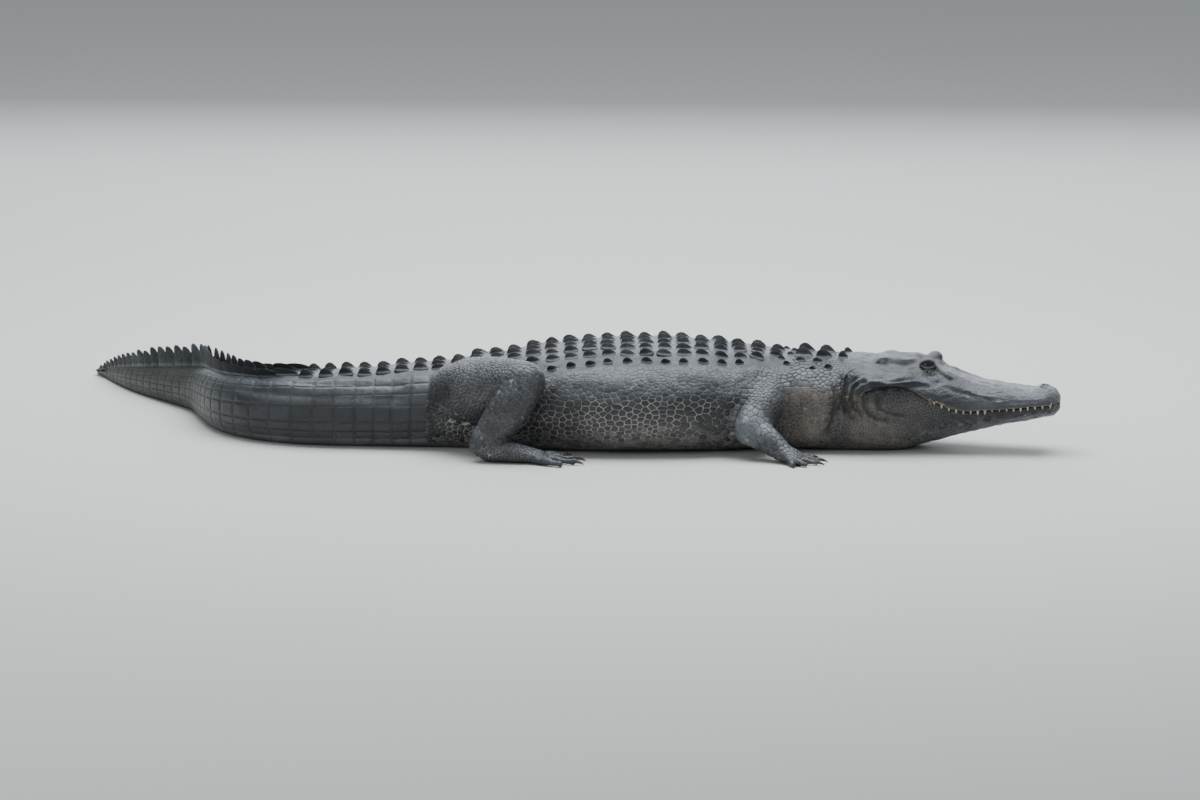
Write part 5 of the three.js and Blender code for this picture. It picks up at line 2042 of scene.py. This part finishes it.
@dataclass(frozen=True)
class Markings:
    """Where the hide is pale, brown, mossy or rust red, by place on the body, with painted sheen where it
    faces up and painted shade and highlight on its folds.
    """

    spine: Spine
    trunk: Trunk
    skull: Skull
    elbow: Callable[[Array], Array]
    folds: tuple[Fold, ...]

    def read(self, points: Array, normals: Array) -> Array:
        """Read the markings, with painted sheen where the hide faces up.

        Args:
            points: Points of the hide or its scales.
            normals: Their normals.

        Returns:
            Pale (partly painted sheen on upward faces), brown, moss and rust of each point, 0 to 1.
        """
        run, left, up = self.spine.read(points)
        level = up / self.trunk.back_height(run)
        # top: how far the hide faces up, which sets the painted sheen below
        top = ease(normals[:, 2], 0.0, 0.85)
        off = np.abs(left) - self.trunk.half_width(run) > 12
        limb = off & (run > 60) & (run < 1130)
        head = ease(run, 1170, 1215) * ~limb
        back = self.spine.snout_run - run
        upper = head * ease(up - self.skull.mouth_level(back), -2, 10)
        under = ease(-normals[:, 2], 0.35, 0.85) * ~limb
        # Painted sheen: lighter where the back and tail face up, and a little lighter high on the flanks
        pale = 0.34 * top * (1 - head) * ease(run, -900, -100) + 0.05 * ease(level, 0.5, 0.7) * (1 - head)
        # On the legs a pale base, with painted sheen on their upper faces
        pale = np.where(limb, 0.14 + 0.32 * top, pale)
        pale = pale + 0.85 * self.elbow(points)
        # On the head: painted sheen on its upward faces, and lighter towards the snout
        pale = pale + upper * (0.05 + 0.36 * ease(normals[:, 2], 0.0, 0.8) + 0.22 * ease(-back, -330, -200))
        ridges = bell(up, 181, 6) + bell(up, 135, 7)
        pale = pale + 0.5 * ridges * ease(-run, 60, 110) * (1 - ease(-run, 420, 560)) * (normals[:, 2] < 0.75)
        pale = mix(pale, 0.75, under)
        neck = bell(run, 1085, 95) * (1 - ease(level, 0.62, 0.86)) * ~limb
        cheek = head * (1 - ease(up, 130, 190)) * ease(back, 330, 420)
        low = 0.25 * (1 - ease(level, 0.2, 0.55)) * ease(run, 250, 400) * (1 - ease(run, 860, 960)) * ~limb
        warm = np.clip(0.95 * neck + 0.45 * cheek + low + 0.35 * under, 0, 1)
        moss = 0.75 * ease(-run, 480, 900)
        rust = np.zeros(len(points))
        for spot_run, spot_left, width in ((86, -98, 22), (134, -92, 20)):
            rust += np.exp(-((run - spot_run) ** 2 + (left - spot_left) ** 2) / width**2)
        rust = np.where(limb, 0, rust)
        return np.clip(np.stack([pale, warm, moss, rust], -1), 0, 1)

    def surface(self, points: Array, normals: Array) -> dict[str, Array]:
        """Strength of the light seams, the cracks and the fine wrinkles of the bare skin."""
        run, left, up = self.spine.read(points)
        level = up / self.trunk.back_height(run)
        off = np.abs(left) - self.trunk.half_width(run) > 8
        limb = off & (run > 60) & (run < 1130)
        flank = ~limb & (run > 10) & (run < 960)
        seam = np.where(flank, 1.0 - 0.75 * ease(level, 0.52, 0.7), 0.0)
        seam = np.where(limb, 0.8, seam)
        neck = ~limb & (run > 960) & (run < 1180)
        seam = np.where(neck, 0.75 * (1 - ease(level, 0.72, 0.86)), seam)
        jaw = (run >= 1180) & (up < self.skull.mouth_level(self.spine.snout_run - run) - 2)
        seam = np.where(jaw, 0.35 * ease(-run, -1640, -1400), seam)
        crack = ease(run, 1150, 1220) * ~limb
        wrinkle = ease(level, 0.5, 0.6) * (1 - ease(level, 0.88, 0.97)) * ease(run, 120, 300) * ~limb
        return {"seam": seam, "crack": crack + 0.3 * limb, "wrinkle": wrinkle * (1 - 0.4 * crack),
                "fleck": self.flecks(points)}

    def creases(self, points: Array, normals: Array) -> Array:
        """Painted shade and highlight of the folds: below 1 in a crease and in the nostrils, above 1 on a
        roll.
        """
        run, left, up = self.spine.read(points)
        sideways = ease(1 - normals[:, 2] ** 2, 0.12, 0.6)
        height = sum(fold.relief(run + 3 * np.sign(left), up) for fold in self.folds) * sideways
        gap = self.skull.nostril_gap(self.spine.snout_run - run, np.abs(left))
        # painted shade in the nostrils' hollows
        hole = np.exp(-(gap**4)) * (normals[:, 2] > -0.2) * (up > 140)
        return np.clip(1 + 0.19 * height - hole, 0.1, 1.7)

    def flecks(self, points: Array) -> Array:
        """Where light flecks show: on the lower lid and along the lip's bend."""
        run, left, up = self.spine.read(points)
        back = self.spine.snout_run - run
        skull = self.skull
        low = bell(up, skull.eye_up - 13, 4.5) * bell(back, skull.eye_back - 2, 17)
        low = low * (np.abs(left) > skull.eye_left)
        edge = np.abs(up - skull.mouth_level(back) + 1)
        lip = (1 - ease(edge, 3, 9)) * bell(back, 315, 48) * (np.abs(left) > 0.7 * skull.lip_half(back))
        return np.clip(1.1 * low + 0.8 * lip, 0, 1)


class Group(Graph):
    """A shader node group with named inputs and outputs, built once."""

    def __init__(self, name: str, inputs: dict[str, str], outputs: dict[str, str]) -> None:
        """Start the group.

        Args:
            name: The group's name.
            inputs: Each input's name and its socket type.
            outputs: Each output's name and its socket type.
        """
        super().__init__(bpy.data.node_groups.new(name, "ShaderNodeTree"))
        self.sockets("INPUT", inputs)
        self.sockets("OUTPUT", outputs)
        self.start = self.add("NodeGroupInput")
        self.end = self.add("NodeGroupOutput")


def blend(graph: Graph, share: object, a: object, b: object) -> Socket:
    """Mix two colours.

    Args:
        graph: The tree to add to.
        share: The second colour's share, as a socket or a number.
        a: The first colour.
        b: The second colour.

    Returns:
        The mixed colour.
    """
    values = {0: share, 6: a if isinstance(a, Socket) else (*a, 1)}
    values[7] = b if isinstance(b, Socket) else (*b, 1)
    return graph.add("ShaderNodeMix", values, data_type="RGBA").outputs[2]


def maths(graph: Graph, kind: str, *values: object) -> Socket:
    """Add one sum to a tree and return its result."""
    return graph.add("ShaderNodeMath", dict(enumerate(values)), operation=kind).outputs[0]


def times(graph: Graph, a: object, b: object) -> Socket:
    """Multiply two numbers in a tree."""
    return maths(graph, "MULTIPLY", a, b)


def scaled(graph: Graph, vector: object, scale: object) -> Socket:
    """Scale a vector in a tree."""
    return graph.add("ShaderNodeVectorMath", {0: vector, "Scale": scale}, operation="SCALE").outputs[0]


def ramp(graph: Graph, value: object, start: float, end: float, low: float = 0.0,
         high: float = 1.0) -> Socket:
    """Add a smooth rise from low to high to a tree."""
    return graph.add("ShaderNodeMapRange", {
        "Value": value, "From Min": start, "From Max": end, "To Min": low, "To Max": high,
    }, interpolation_type="SMOOTHSTEP").outputs[0]


def noise(graph: Graph, place: object, scale: float, detail: float = 4.0) -> Socket:
    """Add even noise, about 0.3 to 0.7, to a tree."""
    return graph.add("ShaderNodeTexNoise", {"Vector": place, "Scale": scale, "Detail": detail}).outputs["Fac"]


def paint_group() -> bpy.types.NodeTree:
    """The group that turns markings into the hide's colour and roughness, with painted sheen, painted shade
    and highlight on the scutes and painted fold shade.
    """
    # Crown sets painted shade on the keels and a painted highlight round them; Crease carries painted fold
    # shade and highlight
    masks = ("Rust", "Tint", "Seam", "Crown", "Fleck", "Crease")
    group = Group("hide_paint", {"Marks": "Color", **dict.fromkeys(masks, "Float")},
                  {"Colour": "Color", "Roughness": "Float"})
    start = group.start.outputs
    place = group.add("ShaderNodeTexCoord").outputs["Object"]
    pale, warm, moss = group.add("ShaderNodeSeparateColor", {"Color": start["Marks"]}).outputs
    broad = noise(group, place, 9.0)
    patchy = ramp(group, broad, 0.38, 0.62)
    fine = noise(group, place, 120.0, 6.0)
    speck = noise(group, place, 420.0, 3.0)
    spots = noise(group, place, 230.0, 2.0)
    moss = times(group, moss, ramp(group, fine, 0.35, 0.65, 0.3, 1.0))
    bare = maths(group, "MULTIPLY_ADD", moss, -0.75, 1.0)
    # dark: painted shade on the high part of each scute's keel and each crest blade; it also dulls them
    dark = times(group, ramp(group, start["Crown"], 0.1, 0.26, 0.0, 0.96), bare)
    colour = (0.0125, 0.0145, 0.018)
    for share, layer in (
        # pale: the belly's and elbows' own pale colour, plus bluish painted sheen where the hide faces up
        (times(group, pale, ramp(group, fine, 0.2, 0.75, 0.55, 1.25)), (0.15, 0.163, 0.18)),
        (times(group, warm, ramp(group, broad, 0.3, 0.6, 0.45, 1.0)), (0.125, 0.106, 0.09)),
        (moss, (0.03, 0.034, 0.018)),
        (times(group, start["Seam"], ramp(group, speck, 0.25, 0.7, 0.6, 1.0)), (0.42, 0.4, 0.36)),
        (times(group, start["Rust"], ramp(group, fine, 0.42, 0.56)), (0.2, 0.085, 0.045)),
        (times(group, start["Fleck"], ramp(group, spots, 0.5, 0.56)), (0.42, 0.36, 0.23)),
        # painted highlight on each scute's raised faces round its keel
        (times(group, ramp(group, start["Crown"], 0.01, 0.05), 0.6), (0.125, 0.135, 0.15)),
        # painted shade on the keels
        (dark, (0.007, 0.008, 0.0095)),
    ):
        colour = blend(group, share, colour, layer)
    # Crease: painted shade in folds and nostrils, painted highlight on rolls; Tint and the noises are the
    # hide's own unevenness
    light = times(group, maths(group, "MULTIPLY_ADD", start["Tint"], 0.3, 1.0), start["Crease"])
    light = times(group, light, ramp(group, patchy, 0.0, 1.0, 0.82, 1.12))
    light = times(group, light, ramp(group, speck, 0.3, 0.7, 0.85, 1.15))
    dull = maths(group, "MULTIPLY_ADD", dark, 0.25, ramp(group, fine, 0.3, 0.7, 0.34, 0.54))
    group.feed(group.end, {"Colour": scaled(group, colour, light), "Roughness": dull})
    return group.tree


def grain_group() -> bpy.types.NodeTree:
    """The group that gives the hide's fine relief, as a height in millimetres."""
    group = Group("hide_grain", {"Crack": "Float", "Wrinkle": "Float"}, {"Height": "Float"})
    start = group.start.outputs
    place = group.add("ShaderNodeTexCoord").outputs["Object"]
    wobble = group.add("ShaderNodeTexNoise", {"Vector": place, "Scale": 26.0, "Detail": 2.0}).outputs["Color"]
    shift = group.add("ShaderNodeVectorMath", {0: wobble, 1: (0.5, 0.5, 0.5)}, operation="SUBTRACT")
    shift = scaled(group, shift.outputs[0], 0.03)
    bent = group.add("ShaderNodeVectorMath", {0: place, 1: shift}).outputs[0]
    height = times(group, noise(group, place, 900.0, 3.0), 0.16)
    for scale, depth in ((230.0, 0.2), (95.0, 0.3)):
        edge = group.add("ShaderNodeTexVoronoi", {"Vector": bent, "Scale": scale}, feature="DISTANCE_TO_EDGE")
        raised = ramp(group, edge.outputs["Distance"], 0.0, 0.14)
        height = maths(group, "MULTIPLY_ADD", raised, depth, height)
    drawn = group.add("ShaderNodeMapping", {
        "Vector": bent, "Rotation": (0.0, 0.0, math.radians(12)), "Scale": (0.4, 1.0, 1.0)}).outputs[0]
    lumps = group.add("ShaderNodeTexNoise", {"Vector": drawn, "Scale": 90.0, "Detail": 5.0, "Roughness": 0.6})
    cracked = times(group, lumps.outputs["Fac"], start["Crack"])
    height = maths(group, "MULTIPLY_ADD", cracked, 1.2, height)
    turned = group.add("ShaderNodeMapping", {"Vector": bent, "Rotation": (0.0, math.radians(24), 0.0)})
    bands = group.add("ShaderNodeTexWave", {
        "Vector": turned.outputs[0], "Scale": 46.0, "Distortion": 3.2, "Detail": 2.0, "Detail Scale": 1.6,
    }, bands_direction="Z").outputs["Fac"]
    creased = times(group, bands, start["Wrinkle"])
    height = maths(group, "MULTIPLY_ADD", creased, 0.9, height)
    group.feed(group.end, {"Height": height})
    return group.tree


def new_material(name: str) -> tuple[bpy.types.Material, Graph, bpy.types.Node]:
    """Start a material: the material, its graph and its shader."""
    made = bpy.data.materials.new(name)
    made.use_nodes = True
    return made, Graph(made.node_tree), made.node_tree.nodes["Principled BSDF"]


@dataclass(frozen=True)
class HideFinish:
    """The finish of the skin, or of one kind of scale."""

    name: str
    sheen: float = 0.0
    relief: float = 1.0
    shine: float = 0.55

    def build(self, paint: bpy.types.NodeTree, grain: bpy.types.NodeTree) -> bpy.types.Material:
        """Make the material.

        Args:
            paint: The colour's node group.
            grain: The relief's node group.

        Returns:
            The material.
        """
        made, graph, shader = new_material(self.name)
        read = {n: graph.add("ShaderNodeAttribute", attribute_name=n)
                for n in ("marks", "tint", "seam", "crown", "crack", "wrinkle", "fleck", "crease")}
        marks = read["marks"].outputs
        colour = graph.add("ShaderNodeGroup", node_tree=paint)
        graph.feed(colour, {"Marks": marks["Color"], "Rust": marks["Alpha"]})
        relief = graph.add("ShaderNodeGroup", node_tree=grain)
        paint_masks, relief_masks = ("tint", "seam", "crown", "fleck", "crease"), ("crack", "wrinkle")
        for node, names in ((colour, paint_masks), (relief, relief_masks)):
            graph.feed(node, {name.title(): read[name].outputs["Fac"] for name in names})
        bump = graph.add("ShaderNodeBump", {
            "Height": relief.outputs["Height"], "Distance": MM * self.relief, "Strength": 1.0})
        graph.feed(shader, {
            "Base Color": colour.outputs["Colour"], "Roughness": colour.outputs["Roughness"],
            "Normal": bump.outputs[0], "Specular IOR Level": self.shine,
            "Coat Weight": self.sheen, "Coat Roughness": 0.35,
        })
        return made


@dataclass(frozen=True)
class EyeFinish:
    """A brown iris with a dark rim and an upright slit of a pupil, read from the gaze map."""

    name: str = "eye"
    iris: float = 0.66

    def build(self) -> bpy.types.Material:
        """Make the material."""
        made, graph, shader = new_material(self.name)
        gaze = graph.add("ShaderNodeUVMap", uv_map="gaze").outputs[0]
        parts = graph.add("ShaderNodeSeparateXYZ", {0: gaze}).outputs
        x, y = (maths(graph, "MULTIPLY_ADD", part, 2.0, -1.0) for part in parts[:2])
        reach = maths(graph, "SQRT", maths(graph, "ADD", times(graph, x, x), times(graph, y, y)))
        rays = noise(graph, gaze, 34.0)
        iris = blend(graph, rays, (0.01, 0.005, 0.003), (0.036, 0.018, 0.008))
        rim = ramp(graph, reach, self.iris * 0.72, self.iris)
        colour = blend(graph, rim, iris, (0.008, 0.006, 0.005))
        slit = maths(graph, "ADD", times(graph, maths(graph, "ABSOLUTE", x), 9.0),
                     times(graph, maths(graph, "ABSOLUTE", y), 1.9))
        colour = blend(graph, ramp(graph, slit, 0.9, 1.05), (0.001, 0.001, 0.001), colour)
        graph.feed(shader, {"Base Color": colour, "Roughness": 0.06})
        return made


@dataclass(frozen=True)
class HornFinish:
    """The finish of claws and teeth: streaks along the horn, paler where it is worn."""

    name: str
    dark: Colour
    light: Colour
    roughness: float = 0.34

    def build(self) -> bpy.types.Material:
        """Make the material."""
        made, graph, shader = new_material(self.name)
        place = graph.add("ShaderNodeTexCoord").outputs["Object"]
        stretched = graph.add("ShaderNodeMapping", {"Vector": place, "Scale": (0.25, 1.0, 1.0)}).outputs[0]
        streak = noise(graph, stretched, 420.0)
        colour = blend(graph, ramp(graph, streak, 0.35, 0.65), self.dark, self.light)
        bump = graph.add("ShaderNodeBump", {"Height": streak, "Distance": 0.4 * MM, "Strength": 1.0})
        graph.feed(shader, {"Base Color": colour, "Normal": bump.outputs[0], "Roughness": self.roughness})
        return made


def islands(obj: Piece) -> Array:
    """Number each vertex by the joined piece that it belongs to."""
    start, end = neighbours(obj)
    label = np.arange(len(obj.data.vertices))
    while True:
        best = label.copy()
        np.minimum.at(best, start, label[end])
        best = best[best]
        if (best == label).all():
            return np.unique(label, return_inverse=True)[1]
        label = best


@dataclass(frozen=True)
class Painter:
    """Keeps the markings, with their painted sheen and fold shade, on the skin and its scales, and maps each
    scale to its root's place.
    """

    markings: Markings
    scaling: Scaling
    patch: float = 0.003

    def marks(self, obj: Piece, points: Array, normals: Array) -> None:
        """Keep the markings, with the painted sheen, as a colour attribute, and the painted fold shade and
        highlight as crease.
        """
        made = obj.data.attributes.new("marks", "FLOAT_COLOR", "POINT")
        values = self.markings.read(points, normals).astype(np.float32)
        made.data.foreach_set("color", values.ravel())
        # crease: painted shade in folds and nostrils, painted highlight on rolls
        add_values(obj, "crease", self.markings.creases(points, normals))

    def skin(self, obj: Piece, outlines: Sequence[Array]) -> None:
        """Mark the skin, with light seams only between flat scales.

        Args:
            obj: The skin.
            outlines: The outlines of all the flat scales.
        """
        points, normals = vertices_of(obj), normals_of(obj)
        self.marks(obj, points, normals)
        middles = np.array([outline.mean(0) for outline in outlines])
        reach = np.array([np.linalg.norm(o - o.mean(0), axis=-1).max() for o in outlines])
        label = nearest(middles, points)
        away = points - middles[label]
        covered = 1 - ease(np.linalg.norm(away, axis=-1) / reach[label], 1.0, 1.15)
        covered = covered * (1 - ease((away * normals).sum(-1), 0.9, 2.0))
        for name, values in self.markings.surface(points, normals).items():
            add_values(obj, name, values * covered if name == "seam" else values)

    def unwrap(self, points: Array) -> Array:
        """Lay points of the skin out flat: the body in one strip, and each leg in its own.

        Args:
            points: Points on the skin.

        Returns:
            Two coordinates of each, 0 to 1.
        """
        spine, trunk = self.scaling.spine, self.scaling.trunk
        run, left, up = spine.read(points)
        long = 0.02 + 0.96 * (run + spine.tail_length) / (spine.tail_length + spine.snout_run)
        turn = np.arctan2(up - trunk.level(run), left)
        around = 0.27 + 0.25 * turn / math.pi
        domain = self.scaling.domains(points)
        for k, leg in enumerate(self.scaling.legs):
            mine = domain == k + 1
            away = np.abs(left[mine])
            turn = np.arctan2(up[mine] - 60, away - 240)
            around[mine] = 0.6 + 0.1 * k + 0.04 * turn / math.pi
        return np.stack([np.clip(long, 0, 1), around], -1)

    def scales(self, obj: Piece, seed: int) -> None:
        """Mark a piece of scales, tint each one and add its UV map.

        Args:
            obj: The piece.
            seed: Seed of the tints.
        """
        points, normals = vertices_of(obj), normals_of(obj)
        label = islands(obj)
        count = label.max() + 1
        share = np.bincount(label, minlength=count)[:, None]
        root = sum_by(label, points, count) / share
        out = unit(sum_by(label, normals, count) + 1e-6)
        # Normals steadied towards each scale's way out, so that the painted sheen lies evenly over a scale
        steady = unit(normals) * 0.35 + out[label]
        self.marks(obj, points, unit(steady))
        tint = np.random.default_rng(seed).uniform(-1, 1, count)
        add_values(obj, "tint", tint[label])
        offset = points - root[label]
        turn = self.scaling.spine.turn(self.scaling.spine.read(root)[0])[label]
        ahead = offset[:, 0] * np.cos(turn) + offset[:, 1] * np.sin(turn)
        aside = offset[:, 1] * np.cos(turn) - offset[:, 0] * np.sin(turn) + offset[:, 2]
        flat = np.stack([ahead, aside], -1)
        span = np.zeros(count)
        np.maximum.at(span, label, np.abs(flat).max(1))
        uv = self.unwrap(root)[label] + 0.5 * self.patch * flat / np.maximum(span[label], 1e-6)[:, None]
        add_map(obj, "OFBake", uv)


FLESH = (
    "torso", "neck", "head", "lower_jaw", "tail_base", "tail_fore", "tail_middle", "tail_rear", "tail_tip")
LIMB_NODES = ("thigh", "shank", "hind_foot", "upper_arm", "forearm", "front_foot")


def main() -> None:
    """Build the animal, piece by piece, and set it in the studio."""
    logging.basicConfig(level=logging.INFO, format="%(message)s")
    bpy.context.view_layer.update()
    Studio().build()
    spine = Spine()
    trunk = Trunk(spine)
    skull = Skull(spine, trunk)
    legs = [make(side) for make in (hind_leg, front_leg) for side in Side]
    skin = Hide(spine, trunk, skull, folds=HEAD_FOLDS).build(legs)
    paint, grain = paint_group(), grain_group()
    skin.data.materials.append(HideFinish("hide").build(paint, grain))
    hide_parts(*FLESH, *(f"{n}_{side.word}" for n in LIMB_NODES for side in Side))
    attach(skin, BODY)
    log_mesh(skin)

    probe = Probe(spine, trunk, tree_of(skin))
    standing = standing_tree()
    armour = Armour(probe, standing)
    horn = HideFinish("scute", relief=0.8, shine=0.22).build(paint, grain)
    flat = HideFinish("scale", sheen=0.1, relief=0.6).build(paint, grain)
    plate, blade = Plate("plate").build(), Blade("blade").build()
    low_crest, high_crest = armour.crest()
    pieces = [
        stand_scales("back_scutes", standing, armour.back(), plate, horn),
        stand_scales("neck_scutes", standing, armour.nape(), plate, horn),
        stand_scales("tail_scutes", standing, low_crest, plate, horn),
        stand_scales("tail_blades", standing, high_crest, blade, horn),
    ]
    for template in (plate, blade):
        bpy.data.objects.remove(template)
    mosaic = mosaic_tree()
    scaling = Scaling(spine, trunk, skull, legs)
    grown = Mosaic(scaling).grow(skin)
    pieces += [cells.build(name, mosaic, 0.86, flat) for name, cells in grown.items()]
    pieces.append(Whorls(probe, armour.pitch).build(flat))
    painter = Painter(Markings(spine, trunk, skull, scaling.elbow, HEAD_FOLDS), scaling)
    painter.skin(skin, [corners for cells in grown.values() for corners in cells.corners])
    for seed, piece in enumerate(pieces):
        painter.scales(piece, 200 + seed)
    eyes = Eyes(spine, skull).build()
    eyes.data.materials.append(EyeFinish().build())
    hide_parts(*(f"eye_{side.word}" for side in Side))
    claws = Claws(spine).build(legs)
    claws.data.materials.append(HornFinish("claw", (0.02, 0.018, 0.016), (0.07, 0.06, 0.05)).build())
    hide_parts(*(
        f"{n}_claw_{side.word}_{k}" for n in ("hind", "front") for side in Side for k in (1, 2, 3)))
    teeth = Teeth(spine, skull).build()
    teeth.data.materials.append(HornFinish("tooth", (0.36, 0.29, 0.17), (0.56, 0.5, 0.36), 0.28).build())
    slots = ("hide",) * len(pieces) + ("eye", "claw", "jaw")
    for piece, name in zip((*pieces, eyes, claws, teeth), slots):
        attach(piece, BODY)
        log_mesh(piece)


if __name__ == "__main__":
    main()
